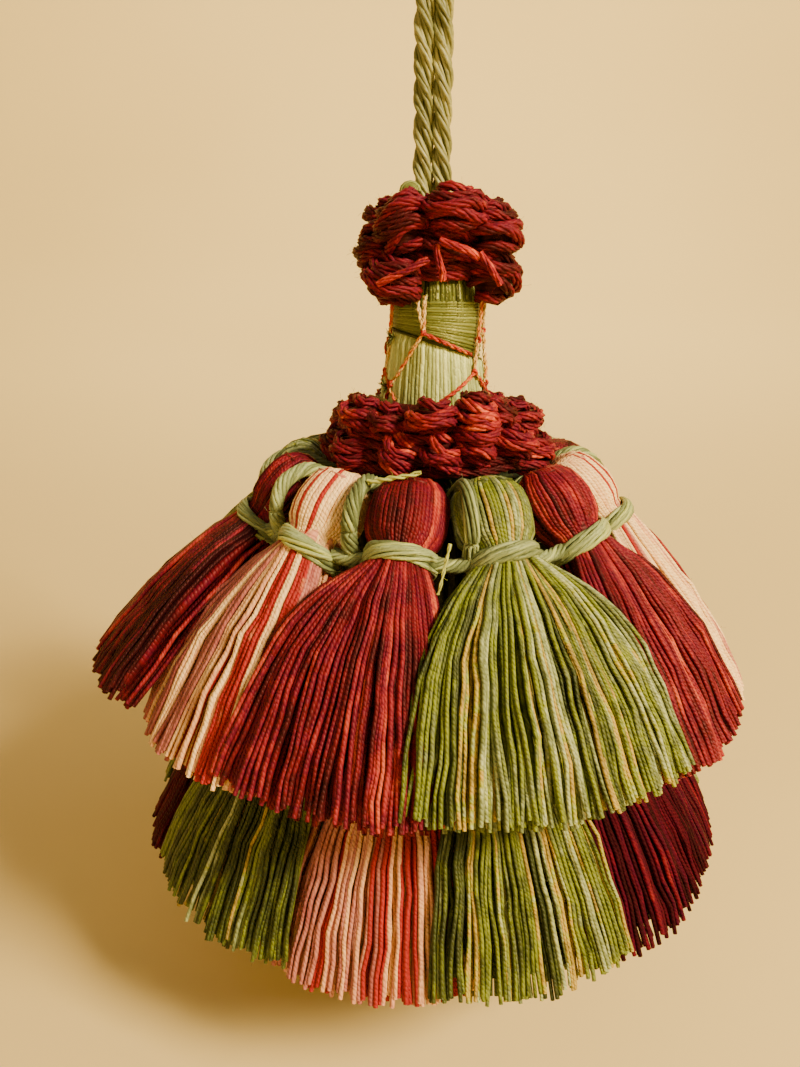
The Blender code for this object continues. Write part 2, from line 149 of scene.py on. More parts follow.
def smooth_points(points: list[Vector], step: float) -> list[Vector]:
    """Reads a smooth curve through a route's points.

    Args:
        points: The route.
        step: Distance between the points that are read.

    Returns:
        Points at an even step, with both ends of the route kept.
    """
    ends = [2 * points[0] - points[1]] + list(points) + [2 * points[-1] - points[-2]]
    dense = []
    for index in range(1, len(ends) - 2):
        before, start, stop, after = ends[index - 1:index + 3]
        for part in range(CURVE_PARTS):
            t = part / CURVE_PARTS
            dense.append(0.5 * (
                2 * start + (stop - before) * t
                + (2 * before - 5 * start + 4 * stop - after) * t * t
                + (3 * start - before - 3 * stop + after) * t * t * t
            ))
    dense.append(ends[-2])
    lengths = [0.0]
    for first, second in zip(dense, dense[1:]):
        lengths.append(lengths[-1] + (second - first).length)
    count = max(2, round(lengths[-1] / step))
    result = []
    place = 0
    for number in range(count + 1):
        wanted = lengths[-1] * number / count
        while place < len(dense) - 2 and lengths[place + 1] < wanted:
            place += 1
        span = max(lengths[place + 1] - lengths[place], 1e-9)
        result.append(dense[place].lerp(dense[place + 1], (wanted - lengths[place]) / span))
    return result


def lay_round(
    route: list[Vector], plies: int, radius: float, lay: float, start: float = 0.0,
    up: Vector = Vector((0.0, 0.0, 1.0)),
) -> list[list[Vector]]:
    """Winds plies round a route, as a rope maker does.

    Args:
        route: The rope's centre line, at even steps.
        plies: How many plies go round it.
        radius: Distance of a ply's middle from the centre line.
        lay: Length of one full turn, negative for the other way round.
        start: Turn of the first ply at the route's start, in radians.
        up: Direction that the first ply leans to from the route.

    Returns:
        One list of points for each ply.
    """
    result: list[list[Vector]] = [[] for _ in range(plies)]
    along = 0.0
    for index, point in enumerate(route):
        before = route[max(index - 1, 0)]
        after = route[min(index + 1, len(route) - 1)]
        forward = (after - before).normalized()
        across = forward.cross(up)
        across = across.normalized() if across.length > 1e-6 else Vector((1.0, 0.0, 0.0))
        broad = across.cross(forward)
        if index:
            along += (point - route[index - 1]).length
        for ply in range(plies):
            angle = start + TURN * (ply / plies + along / lay)
            offset = math.cos(angle) * broad + math.sin(angle) * across
            result[ply].append(point + radius * offset)
    return result


@dataclass(frozen=True)
class YarnFinish:
    """Plied cotton yarn: rope-like plies with fine fibres, dyed in changing shades.

    The plies give slanting bands of light and shade, from their bumps and from painted shade
    in the grooves between them, and the fibres a soft satin grain.
    """

    name: str
    slot: str
    shades: tuple[tuple[float, str], ...]  # (place on the ramp, sRGB hex)
    sheen_tint: str = "B08070"
    plies: int = 2
    lay: float = 0.0012
    relief: float = 0.00006
    # painted shade: how much darker the colour is made in the grooves between the plies
    groove_shade: float = 0.38
    wander: float = 0.10
    patch: float = 0.10
    patch_scale: float = 170.0  # patches of about 6 mm
    roughness: float = 0.55
    gloss: float = 0.28
    gloss_tint: str = "FFFFFF"
    sheen: float = 0.08
    sheen_roughness: float = 0.45
    fibre_width: float = 0.00009
    fibre_length: float = 0.0009
    half_strand: float = 0.00034
    fibre_relief: float = 0.30
    fibre_grain: tuple[float, float] = (1.1, 0.45)  # (how strong, the darkest light)
    drift_length: float = 0.0032
    uneven: float = 11.0  # how far the twist's phase drifts, in radians

    def build(self) -> bpy.types.Material:
        """Makes the material, or finds it if it is made already.

        Returns:
            The material, whose pattern follows the attributes spin, along and tint.
        """
        if self.name in bpy.data.materials:
            return bpy.data.materials[self.name]
        material, node = start_material(self.name)
        spin, along, tint = (node("ShaderNodeAttribute", attribute_name=name).outputs
                             for name in ("spin", "along", "tint"))
        along, tint = along["Fac"], tint["Fac"]
        across = node("ShaderNodeSeparateXYZ", (spin["Vector"],)).outputs
        angle = node(MATHS, (across["Y"], across["X"]), operation="ARCTAN2")
        # Slow noise along a strand, which its shade and its twist both follow
        drift = self.noise(node, ((along, 1 / self.drift_length), (tint, 63.0)), 3.0, 0.72)
        # Fine lines that run nearly lengthwise, as cotton fibres do in a ply
        fibre = self.noise(node, (
            (angle, self.half_strand / self.fibre_width), (along, 1 / self.fibre_length),
            (tint, 40.0),
        ), 2.0, 0.6)
        half = node(MATHS, (angle, self.plies / 2), operation="MULTIPLY")
        turns = node(MATHS, (along, math.pi * self.plies / self.lay), operation="MULTIPLY")
        turns = node(MATHS, (drift, self.uneven, turns), operation="MULTIPLY_ADD")
        wave = node(MATHS, (node(MATHS, (half, turns), operation="ADD"),), operation="COSINE")
        crest = node(MATHS, (wave,), operation="ABSOLUTE")
        height = node(MATHS, (fibre, self.fibre_relief, crest), operation="MULTIPLY_ADD")
        bump = node("ShaderNodeBump", {"Strength": 1.0, "Distance": self.relief, "Height": height})
        shader = node("ShaderNodeBsdfPrincipled", {
            "Base Color": self.colour(node, crest, fibre, drift, tint),
            "Roughness": self.roughness, "Normal": bump, "Sheen Weight": self.sheen,
            "Sheen Roughness": self.sheen_roughness, "Sheen Tint": linear(self.sheen_tint),
            "Specular IOR Level": self.gloss, "Specular Tint": linear(self.gloss_tint),
        })
        node("ShaderNodeOutputMaterial", {"Surface": shader})
        return material

    @staticmethod
    def noise(
        node: Adder, places: tuple[tuple[Linkable, float], ...], detail: float, roughness: float,
    ) -> bpy.types.Node:
        """Noise over a few values, such as the distance along a strand.

        Args:
            node: Adds a node to the material.
            places: Each value, and how many lumps of noise there are in one of it.
            detail: How many finer layers of noise there are.
            roughness: How strong the finer layers are.

        Returns:
            The noise from 0 to 1.
        """
        place = [node(MATHS, row, operation="MULTIPLY") for row in places]
        return node("ShaderNodeTexNoise", {
            "Vector": node("ShaderNodeCombineXYZ", place), "Scale": 1.0, "Detail": detail,
            "Roughness": roughness,
        })

    def colour(
        self, node: Adder, crest: Linkable, fibre: Linkable, drift: Linkable, tint: Linkable,
    ) -> bpy.types.Node:
        """Shades that change from strand to strand, along each and in patches.

        Args:
            node: Adds a node to the material.
            crest: Height of the plies from 0 in the grooves to 1.
            fibre: The fibres' noise.
            drift: The slow noise along the strand.
            tint: The strand's own place on the ramp.

        Returns:
            The colour.
        """
        patch = node("ShaderNodeTexNoise", {
            "Vector": node("ShaderNodeTexCoord").outputs["Object"], "Scale": self.patch_scale,
            "Detail": 1.0,
        })
        shade = node(MATHS, (drift, 2 * self.wander, tint), operation="MULTIPLY_ADD")
        shade = node(MATHS, (patch, 2 * self.patch, shade), operation="MULTIPLY_ADD")
        shade = node(MATHS, (shade, self.wander + self.patch), operation="SUBTRACT")
        ramp = node("ShaderNodeValToRGB", {"Fac": shade})
        stops = ramp.color_ramp.elements
        for stop, (place, code) in zip(stops, (self.shades[0], self.shades[-1])):
            stop.position, stop.color = place, linear(code)
        for place, code in self.shades[1:-1]:
            stops.new(place).color = linear(code)
        # Painted shade: the colour darkens in the grooves between the plies
        light = node(MATHS, (crest, self.groove_shade, 1.0 - self.groove_shade), operation="MULTIPLY_ADD")
        grain = node(MATHS, (fibre, *self.fibre_grain), operation="MULTIPLY_ADD")
        light = node(MATHS, (light, grain), operation="MULTIPLY")
        return node("ShaderNodeVectorMath", {0: ramp, "Scale": light}, operation="SCALE")


# Crimson pearl cotton: deep maroon with orange-red and plum lengths, dark in its gaps
RED_YARN = YarnFinish(
    "Pearl cotton crimson", "red_strands",
    ((0.0, "240409"), (0.2, "420A10"), (0.4, "6A101A"), (0.54, "5E0E24"), (0.68, "821A26"),
     (0.84, "A2302A"), (1.0, "C25438")),
    sheen_tint="C06050", wander=0.60, patch=0.45, groove_shade=0.26, gloss=0.34, gloss_tint="FFA898",
    roughness=0.5,
)
# The same cotton with painted shade for the lower tier: a darker, duller copy of the crimson, for
# where it hangs in the shade of the tier above
SHADED_RED_YARN = YarnFinish(
    "Pearl cotton crimson painted shade", "red_strands",
    ((0.0, "1A0207"), (0.3, "2E0410"), (0.5, "460816"), (0.68, "3E061C"), (0.84, "620E1E"),
     (1.0, "801C20")),
    sheen=0.03, sheen_tint="A03038", wander=0.45, patch=0.30, groove_shade=0.30, gloss=0.15,
    gloss_tint="FF9080", roughness=0.6,
)
# Ecru pearl cotton with bright red strands among it; the two ends of the ramp stay apart
CREAM_YARN = YarnFinish(
    "Pearl cotton ecru and red", "cream_strands",
    ((0.0, "984E48"), (0.16, "C07A68"), (0.34, "E8B078"), (0.52, "FFDC98"), (0.64, "F4C07C"),
     (0.78, "A8201E"), (1.0, "8E1414")),
    sheen_tint="F0D8B0", wander=0.22, patch=0.10, groove_shade=0.26, gloss_tint="FFE0C0",
)
# Olive pearl cotton, dyed from sage and grass green to gold
GREEN_YARN = YarnFinish(
    "Pearl cotton olive", "green_strands",
    ((0.0, "2C3410"), (0.18, "4A5418"), (0.34, "76821E"), (0.48, "626C3C"), (0.6, "8A965E"),
     (0.72, "ACB67C"), (0.8, "98A02A"), (0.9, "BC9E3C"), (1.0, "8E7A30")),
    sheen_tint="A0A878", wander=0.50, patch=0.25, groove_shade=0.26, gloss=0.36,
    gloss_tint="F0F4C8", roughness=0.5,
)
# Soft gimp yarn of the ruffs: fuzzy crimson with orange and plum flecks
GIMP_YARN = YarnFinish(
    "Wound gimp crimson", "crimson_gimp",
    ((0.0, "280408"), (0.25, "460A14"), (0.45, "741222"), (0.6, "580E26"), (0.74, "8A1C26"),
     (0.9, "B2382A"), (1.0, "DA5E3A")),
    sheen_tint="C05848", plies=2, lay=0.0022, relief=0.00006, groove_shade=0.28, wander=0.75,
    patch=0.30, sheen=0.14, roughness=0.55, gloss=0.36, gloss_tint="FFA090",
    fibre_width=0.00007,
)
# Sage floss of the ties and hangers: soft, nearly flat, with a satin light along it
TIE_FLOSS = YarnFinish(
    "Soft floss sage", "tie_floss",
    ((0.0, "4A5430"), (0.4, "748050"), (0.7, "9AA870"), (1.0, "B8C060")),
    sheen_tint="A0A878", plies=2, lay=0.0050, relief=0.00005, groove_shade=0.20, wander=0.30,
    patch=0.22, roughness=0.42, gloss=0.4, gloss_tint="E8F0A0", fibre_width=0.00007,
)
# Sage cord: each ply of fine satin floss
CORD_FLOSS = YarnFinish(
    "Twisted cord sage", "sage_cord",
    ((0.0, "4C4E22"), (0.4, "7A7C42"), (0.7, "9A9A5C"), (1.0, "B4AE5C")),
    sheen_tint="A0A878", plies=2, lay=0.0060, relief=0.00004, groove_shade=0.20, wander=0.50,
    patch=0.30, roughness=0.45, gloss=0.4, fibre_width=0.00006,
)
# Pale satin floss over the mould: flat strands side by side with a yellow-green light
NECK_FLOSS = YarnFinish(
    "Satin floss pale sage", "sage_floss",
    ((0.0, "242A0E"), (0.3, "545C26"), (0.55, "848C46"), (0.8, "B4C078"), (1.0, "D4DE8A")),
    sheen_tint="B0B888", plies=2, lay=0.0090, relief=0.00006, groove_shade=0.22, wander=0.15,
    patch=0.12, roughness=0.36, gloss=0.55, gloss_tint="F4F080", fibre_width=0.00007,
)
# Olive floss of the base between the heads, with painted shade: a dark, dull copy of the neck floss
# for where it sits in their shade
SHADED_BASE_FLOSS = YarnFinish(
    "Base floss olive painted shade", "sage_floss",
    ((0.0, "14180A"), (1.0, "3A4220")),
    sheen_tint="60683C", plies=2, lay=0.0090,
)
# Thin net thread, dyed from cream and gold to orange-red
NET_YARN = YarnFinish(
    "Net thread variegated", "net_thread",
    ((0.0, "4A0A08"), (0.3, "A8240E"), (0.5, "D04418"), (0.7, "D09A38"), (1.0, "F4DC94")),
    plies=2, lay=0.0012, relief=0.00006, groove_shade=0.4, wander=0.45, patch=0.25,
)


class Colourway(Enum):
    """Which yarn a small tassel is cut from."""

    RED = RED_YARN
    # Painted shade: the crimson again, darker and duller, for the lower tier
    SHADED_RED = SHADED_RED_YARN
    CREAM = CREAM_YARN
    GREEN = GREEN_YARN


@dataclass(frozen=True)
class BackdropFinish:
    """Matt pale paper, slightly mottled, so that the light falls off softly on it."""

    name: str = "Pale paper"
    light: str = "ECD68C"
    shade: str = "E0C87C"
    roughness: float = 0.9
    mottle: float = 2.5  # patches of about 400 mm

    def build(self) -> bpy.types.Material:
        """Makes the material.

        Returns:
            The paper, which is all but plain.
        """
        material, node = start_material(self.name)
        noise = node("ShaderNodeTexNoise", {
            "Vector": node("ShaderNodeTexCoord").outputs["Object"], "Scale": self.mottle,
            "Detail": 1.0,
        })
        mix = node("ShaderNodeMix", {
            0: noise, 6: linear(self.light), 7: linear(self.shade),
        }, data_type="RGBA")
        shader = node("ShaderNodeBsdfPrincipled", {
            "Base Color": mix.outputs[2], "Roughness": self.roughness,
        })
        node("ShaderNodeOutputMaterial", {"Surface": shader})
        return material


class YarnTree:
    """A Geometry Nodes tree that takes a mesh and gives one, built once for all pieces."""

    NAME = ""
    INPUTS: dict[str, str] = {}  # name of each further input to its kind

    @classmethod
    def build(cls) -> bpy.types.NodeTree:
        """Makes the tree, or finds it if it is made already.

        Returns:
            A tree with the inputs that the class names.
        """
        if cls.NAME in bpy.data.node_groups:
            return bpy.data.node_groups[cls.NAME]
        tree = bpy.data.node_groups.new(cls.NAME, "GeometryNodeTree")
        for name, kind in {"Geometry": "Geometry", **cls.INPUTS, "Yarn": "Material"}.items():
            tree.interface.new_socket(name, in_out="INPUT", socket_type="NodeSocket" + kind)
        tree.interface.new_socket("Geometry", in_out="OUTPUT", socket_type="NodeSocketGeometry")
        cls.fill(tree, partial(add_node, tree), add_node(tree, "NodeGroupInput").outputs)
        return tree

    @classmethod
    def fill(
        cls, tree: bpy.types.NodeTree, node: Adder, given: bpy.types.bpy_prop_collection,
    ) -> None:
        """Adds the tree's own nodes.

        Args:
            tree: The tree.
            node: Adds a node to it.
            given: The tree's inputs.
        """
        raise NotImplementedError


class StrandTree(YarnTree):
    """Geometry Nodes that lay a round strand of yarn on every polyline of a mesh."""

    NAME = "Laid strands"
    INPUTS = {"Sides": "Int", "Wander": "Float", "Ripple": "Float", "Seed": "Float"}

    @classmethod
    def fill(
        cls, tree: bpy.types.NodeTree, node: Adder, given: bpy.types.bpy_prop_collection,
    ) -> None:
        """Adds the nodes.

        Args:
            tree: The tree.
            node: Adds a node to it.
            given: The tree's inputs.
        """
        thick, loose = (node("GeometryNodeInputNamedAttribute", {"Name": name}, data_type="FLOAT")
                        for name in ("thick", "loose"))
        noise = node("ShaderNodeTexNoise", {
            "Vector": node("GeometryNodeInputPosition"), "W": given["Seed"],
            "Scale": given["Ripple"], "Detail": 1.0,
        }, noise_dimensions="4D")
        middle = node("ShaderNodeVectorMath", (noise.outputs["Color"], (0.5, 0.5, 0.5)),
                      operation="SUBTRACT")
        reach = node(MATHS, (loose.outputs["Attribute"], given["Wander"]), operation="MULTIPLY")
        offset = node("ShaderNodeVectorMath", {0: middle, "Scale": reach}, operation="SCALE")
        lines = node("GeometryNodeMeshToCurve", {"Mesh": given["Geometry"]})
        moved = node("GeometryNodeSetPosition", {"Geometry": lines, "Offset": offset})
        ring = node("GeometryNodeCurvePrimitiveCircle", {
            "Resolution": given["Sides"], "Radius": 1.0,
        })
        marked = node("GeometryNodeStoreNamedAttribute", {
            "Geometry": ring, "Name": "spin", "Value": node("GeometryNodeInputPosition"),
        }, data_type="FLOAT_VECTOR", domain="POINT")
        tubes = node("GeometryNodeCurveToMesh", {
            "Curve": moved, "Profile Curve": marked, "Scale": thick.outputs["Attribute"],
            "Fill Caps": True,
        })
        smooth = node("GeometryNodeSetShadeSmooth", {"Geometry": tubes})
        real = node("GeometryNodeRealizeInstances", {"Geometry": smooth})
        dyed = node("GeometryNodeSetMaterial", {"Geometry": real, "Material": given["Yarn"]})
        node("NodeGroupOutput", (dyed,))


class FuzzTree(YarnTree):
    """Geometry Nodes that scatter short loose fibres on a piece and keep the piece."""

    NAME = "Loose fibres"
    INPUTS = {"Density": "Float", "Length": "Float", "Width": "Float", "Seed": "Int"}

    @classmethod
    def fill(
        cls, tree: bpy.types.NodeTree, node: Adder, given: bpy.types.bpy_prop_collection,
    ) -> None:
        """Adds the nodes.

        Args:
            tree: The tree.
            node: Adds a node to it.
            given: The tree's inputs.
        """
        spots = node("GeometryNodeDistributePointsOnFaces", {
            "Mesh": given["Geometry"], "Density": given["Density"], "Seed": given["Seed"],
        })
        bow = node("GeometryNodeCurvePrimitiveBezierSegment", {
            "Resolution": 2, "Start": (0.0, 0.0, 0.0), "Start Handle": (0.0, 0.0, 0.45),
            "End Handle": (0.35, 0.0, 0.75), "End": (0.65, 0.0, 0.85),
        }, mode="POSITION")
        lean = node("FunctionNodeRandomValue", {
            "Min": (-1.2, -1.2, 0.0), "Max": (1.2, 1.2, TURN), "Seed": given["Seed"],
        }, data_type="FLOAT_VECTOR")
        turned = node("FunctionNodeRotateRotation", {
            "Rotation": spots.outputs["Rotation"], "Rotate By": lean.outputs["Value"],
        }, rotation_space="LOCAL")
        size = node("FunctionNodeRandomValue", {2: 0.4, 3: 1.3, "Seed": given["Seed"]},
                    data_type="FLOAT")
        length = node(MATHS, (size.outputs[1], given["Length"]), operation="MULTIPLY")
        placed = node("GeometryNodeInstanceOnPoints", {
            "Points": spots, "Instance": bow, "Rotation": turned, "Scale": length,
        })
        lines = node("GeometryNodeRealizeInstances", {"Geometry": placed})
        ring = node("GeometryNodeCurvePrimitiveCircle", {"Resolution": 3, "Radius": 1.0})
        hairs = node("GeometryNodeCurveToMesh", {
            "Curve": lines, "Profile Curve": ring, "Scale": given["Width"], "Fill Caps": False,
        })
        dyed = node("GeometryNodeSetMaterial", {"Geometry": hairs, "Material": given["Yarn"]})
        both = node("GeometryNodeJoinGeometry", (given["Geometry"],))
        tree.links.new(dyed.outputs[0], both.inputs[0])
        real = node("GeometryNodeRealizeInstances", {"Geometry": both})
        last = node("GeometryNodeSetMaterial", {"Geometry": real, "Material": given["Yarn"]})
        node("NodeGroupOutput", (last,))


def run_tree(
    mesh: bpy.types.Mesh, name: str, tree: bpy.types.NodeTree, values: dict[str, object],
) -> bpy.types.Mesh:
    """Runs a Geometry Nodes tree on a mesh.

    Args:
        mesh: The mesh that goes in, which is removed after it.
        name: Name of the result.
        tree: The tree.
        values: Input name to its value.

    Returns:
        The plain mesh that comes out.
    """
    carrier = bpy.data.objects.new(name + ".carrier", mesh)
    bpy.context.scene.collection.objects.link(carrier)
    modifier = carrier.modifiers.new("Nodes", "NODES")
    modifier.node_group = tree
    for item in tree.interface.items_tree:
        if item.item_type == "SOCKET" and item.in_out == "INPUT" and item.name in values:
            modifier[item.identifier] = values[item.name]
    graph = bpy.context.evaluated_depsgraph_get()
    result = bpy.data.meshes.new_from_object(carrier.evaluated_get(graph), depsgraph=graph)
    result.name = name
    bpy.data.objects.remove(carrier, do_unlink=True)
    bpy.data.meshes.remove(mesh)
    return result


@dataclass
class Strands:
    """A batch of yarn strands that becomes one piece."""

    name: str
    finish: YarnFinish
    sides: int = 5
    wander: float = 0.0
    ripple: float = 260.0
    seed: float = 1.0
    points: list[Vector] = field(default_factory=list)
    edges: list[tuple[int, int]] = field(default_factory=list)
    marks: dict[str, list[float]] = field(
        default_factory=lambda: {key: [] for key in ("along", "tint", "thick", "loose")})

    def add(
        self, path: list[Vector], radius: float, tint: float, closed: bool = False,
        start: float = 0.0, taper: float = 1.0,
    ) -> None:
        """Adds one strand.

        Args:
            path: The strand's centre line.
            radius: Half its thickness.
            tint: Its place on the finish's ramp of shades.
            closed: True for a ring.
            start: Distance along the yarn at the strand's first point.
            taper: Share of the radius left at the last point.
        """
        first, last = len(self.points), len(path) - 1
        self.points += path
        for index, point in enumerate(path):
            if index:
                start += (point - path[index - 1]).length
                self.edges.append((first + index - 1, first + index))
            share = index / last
            row = (start, tint, radius * (1.0 - (1.0 - taper) * share),
                   1.0 if closed else min(1.0, LOOSE * share))
            for marks, value in zip(self.marks.values(), row):
                marks.append(value)
        if closed:
            self.edges.append((first + last, first))

    def bake(self, fuzz: tuple[float, float, float] | None = None) -> bpy.types.Object:
        """Runs the strands through Geometry Nodes.

        Args:
            fuzz: Loose fibres as (how many per square metre, length, half width).

        Returns:
            The finished piece, riding on the root.
        """
        mesh = bpy.data.meshes.new(self.name + ".lines")
        mesh.from_pydata(self.points, self.edges, [])
        for key, values in self.marks.items():
            mesh.attributes.new(key, "FLOAT", "POINT").data.foreach_set("value", values)
        yarn = self.finish.build()
        result = run_tree(mesh, self.name, StrandTree.build(), {
            "Sides": self.sides, "Wander": self.wander, "Ripple": self.ripple,
            "Seed": self.seed, "Yarn": yarn,
        })
        if fuzz:
            result = run_tree(result, self.name, FuzzTree.build(), {
                "Density": fuzz[0], "Length": fuzz[1], "Width": fuzz[2],
                "Seed": int(self.seed), "Yarn": yarn,
            })
        for spare in ("thick", "loose"):
            if spare in result.attributes:
                result.attributes.remove(result.attributes[spare])
        piece = bpy.data.objects.new(self.name, result)
        bpy.context.scene.collection.objects.link(piece)
        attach(piece, "root")
        LOG.info("%s: %d strands' points, %d triangles", self.name, len(self.points),
                 sum(len(face.vertices) - 2 for face in result.polygons))
        return piece


@dataclass
class HangingCord:
    """The doubled three-ply cord: up one leg, round the loop's eye and down the other."""

    diameter: float = 0.0025
    offset_x: float = -0.0007
    fork_drop: float = 0.0210
    step: float = 0.0007
    plies: int = 3
    lay: float = 0.0120
    nearer: float = 0.0002  # how much closer to the middle the soft plies settle
    leg: Table = (  # (distance from the loop's middle, drop)
        (0.0014, 0.0582), (0.0014, 0.0500), (0.0014, 0.0400), (0.0014, 0.0300),
        (0.0014, 0.0210), (0.0026, 0.0160), (0.0044, 0.0115), (0.0052, 0.0078),
        (0.0043, 0.0042), (0.0023, 0.0019),
    )

    def route(self, step: float, nearer: float = 0.0) -> list[Vector]:
        """The cord's centre line, as the frame has it.

        Args:
            step: Distance between its points.
            nearer: How much closer to the middle it runs.

        Returns:
            Points from one foot to the other.
        """
        rows = [(nearer - x, drop) for x, drop in self.leg] + [(0.0, self.diameter / 2)]
        rows += [(-x, drop) for x, drop in reversed(rows[:-1])]
        return smooth_points([
            Vector((x + self.offset_x * min(1.0, drop / self.fork_drop), 0.0, -drop))
            for x, drop in rows
        ], step)

    def build(self) -> None:
        cord = Strands("hanging_cord_plies", CORD_FLOSS, sides=4)
        ply = self.diameter / 2 * 0.60
        side = Vector((0.0, 1.0, 0.0))
        plies = lay_round(self.route(self.step, self.nearer), self.plies, ply, -self.lay, up=side)
        for number, path in enumerate(plies):
            for fine in lay_round(path, 4, ply * 0.50, -self.lay * 0.8, start=number, up=side):
                cord.add(fine, ply * 0.43, 0.45 + 0.1 * number, start=0.003 * number)
        piece = cord.bake()
        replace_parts(piece, "hanging_cord")
        path = self.route(0.003)


@dataclass
class Skein:
    """One fat lobe of a ruff: a stack of yarn turns that go round it sideways."""

    azimuth: float
    drop: float
    reach: float
    half_width: float
    half_height: float
    slant: float

    def turns(
        self, yarn: float, inner: float, sweep: float, rng: random.Random,
    ) -> list[list[Vector]]:
        """The lobe's turns, from its top to its bottom.

        Args:
            yarn: Half the yarn's thickness.
            inner: Radius round the main axis where the turns go back inwards.
            sweep: How far each turn goes round from its middle, in degrees.
            rng: The source of small differences.

        Returns:
            One open arc for each turn.
        """
        result = []
        count = max(2, round(2 * (self.half_height - yarn) / (1.62 * yarn)) + 1)
        middle = (inner + self.reach) / 2
        for number in range(count):
            level = 2 * number / (count - 1) - 1
            swell = math.sqrt(1.0 - 0.72 * level * level) * rng.uniform(0.93, 1.04)
            shift = rng.uniform(-0.0004, 0.0004)
            deep = (self.reach - inner) / 2 * swell
            wide = (self.half_width - yarn) * swell
            tilt = math.radians(self.slant + rng.uniform(-11.0, 11.0))
            down = (self.half_height - yarn) * level * 0.98
            arc = []
            for part in range(13):
                turn = math.radians(sweep * (part / 6 - 1.0))
                side = wide * math.sin(turn)
                out = middle - (middle - inner) * (1 - swell) * 0.3 + (deep - yarn) * math.cos(turn)
                low = down * math.cos(tilt) + side * math.sin(tilt)
                low += 0.00025 * math.sin(3.0 * turn + 2.0 * number)
                across = side * math.cos(tilt) - down * math.sin(tilt) * 0.5 + shift
                azimuth = math.radians(self.azimuth) + math.atan2(across, max(out, 0.002))
                arc.append(polar(math.hypot(out, across), azimuth, self.drop + low))
            result.append(arc)
        return result


@dataclass
class Ruff:
    """A ruff of soft gimp yarn, gathered round the neck in fat lobes."""

    node: str
    inner: float
    yarn: float
    seed: int
    fuzz: tuple[float, float, float]
    core: Table  # wound turns behind the lobes: (radius, drop, tilt)
    # Each lobe's tint is partly the dye's own shade and partly painted light and shade: lobes in
    # shade take darker places on the ramp, lit ones lighter
    lobes: Table  # (azimuth, drop, reach, half width, half height, slant, tint), mm and degrees
    strays: Table = ()  # loose turns over them: (azimuth, drop, reach) at both ends, mm, tint
    plies: int = 5
    lay: float = 0.0076
    sweep: float = 132.0
    step: float = 0.0011
    # Painted shade: the filling takes the darkest place on the ramp, so that the gaps between lobes
    # read as shadow
    painted_gap_shade: float = -0.1  # shade of the filling

    def wind(
        self, batch: Strands, line: list[Vector], shade: float, rng: random.Random,
        closed: bool = False, share: float = 1.0,
    ) -> None:
        """Lays one turn of gimp, which is a soft bundle of fine threads.

        Args:
            batch: Where the threads go.
            line: The turn's middle line.
            shade: Its place on the ramp.
            rng: The source of small differences.
            closed: True for a ring.
            share: Share of the yarn's thickness that it has.
        """
        size = self.yarn * share * rng.uniform(0.92, 1.08)
        lay = self.lay
        if closed:
            length = sum((b - a).length for a, b in zip(line, line[1:] + line[:1]))
            lay = length / round(length / self.lay)
        for path in lay_round(line, self.plies, size * 0.62, lay, start=rng.uniform(0.0, TURN)):
            batch.add(path, size * 0.40, shade + rng.uniform(-0.14, 0.14), closed=closed,
                      start=rng.uniform(0.0, 0.02))

    def build(self) -> None:
        """Winds every lobe and adds the loose fibres."""
        rng = random.Random(self.seed)
        batch = Strands(self.node + "_gimp", GIMP_YARN, 4, 0.0012, seed=float(self.seed))
        for azimuth, drop, reach, wide, high, slant, tint in self.lobes:
            skein = Skein(azimuth, drop / 1000, reach / 1000, wide / 1000, high / 1000, slant)
            for arc in skein.turns(self.yarn, self.inner, self.sweep, rng):
                line = smooth_points(arc, self.step)
                self.wind(batch, line, tint + rng.uniform(-0.2, 0.2), rng)
            # Painted shade: a plug in the darkest tint fills the middle of the lobe, so that its
            # gaps read as shadow
            deep = (reach / 1000 + self.inner) / 2
            plug = min(wide, reach - deep * 1000) / 1000 - 2.2 * self.yarn
            batch.add([polar(deep, math.radians(azimuth), (drop + level * (high - 1.4)) / 1000)
                       for level in (-1.0, 0.0, 1.0)], plug, self.painted_gap_shade)
        for radius, drop, tilt in self.core:
            ring = [polar(radius, azimuth, drop + tilt * math.sin(azimuth + 9 * drop))
                    for azimuth in angles(round(TURN * radius / 0.0012))]
            self.wind(batch, ring, rng.uniform(0.1, 0.45), rng, closed=True)
            # Painted shade: a dark ring inside each core turn fills the gaps with the darkest tint
            filling = [polar(radius - 2.4 * self.yarn, azimuth, drop)
                       for azimuth in angles(24, 0.0)]
            batch.add(filling, 1.5 * self.yarn, self.painted_gap_shade, closed=True)
        for *ends, tint in self.strays:
            route = drape(ends, [part / 5 for part in range(6)], bow=0.4)
            self.wind(batch, smooth_points(route, self.step), tint, rng, share=0.72)
        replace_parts(batch.bake(self.fuzz), self.node)


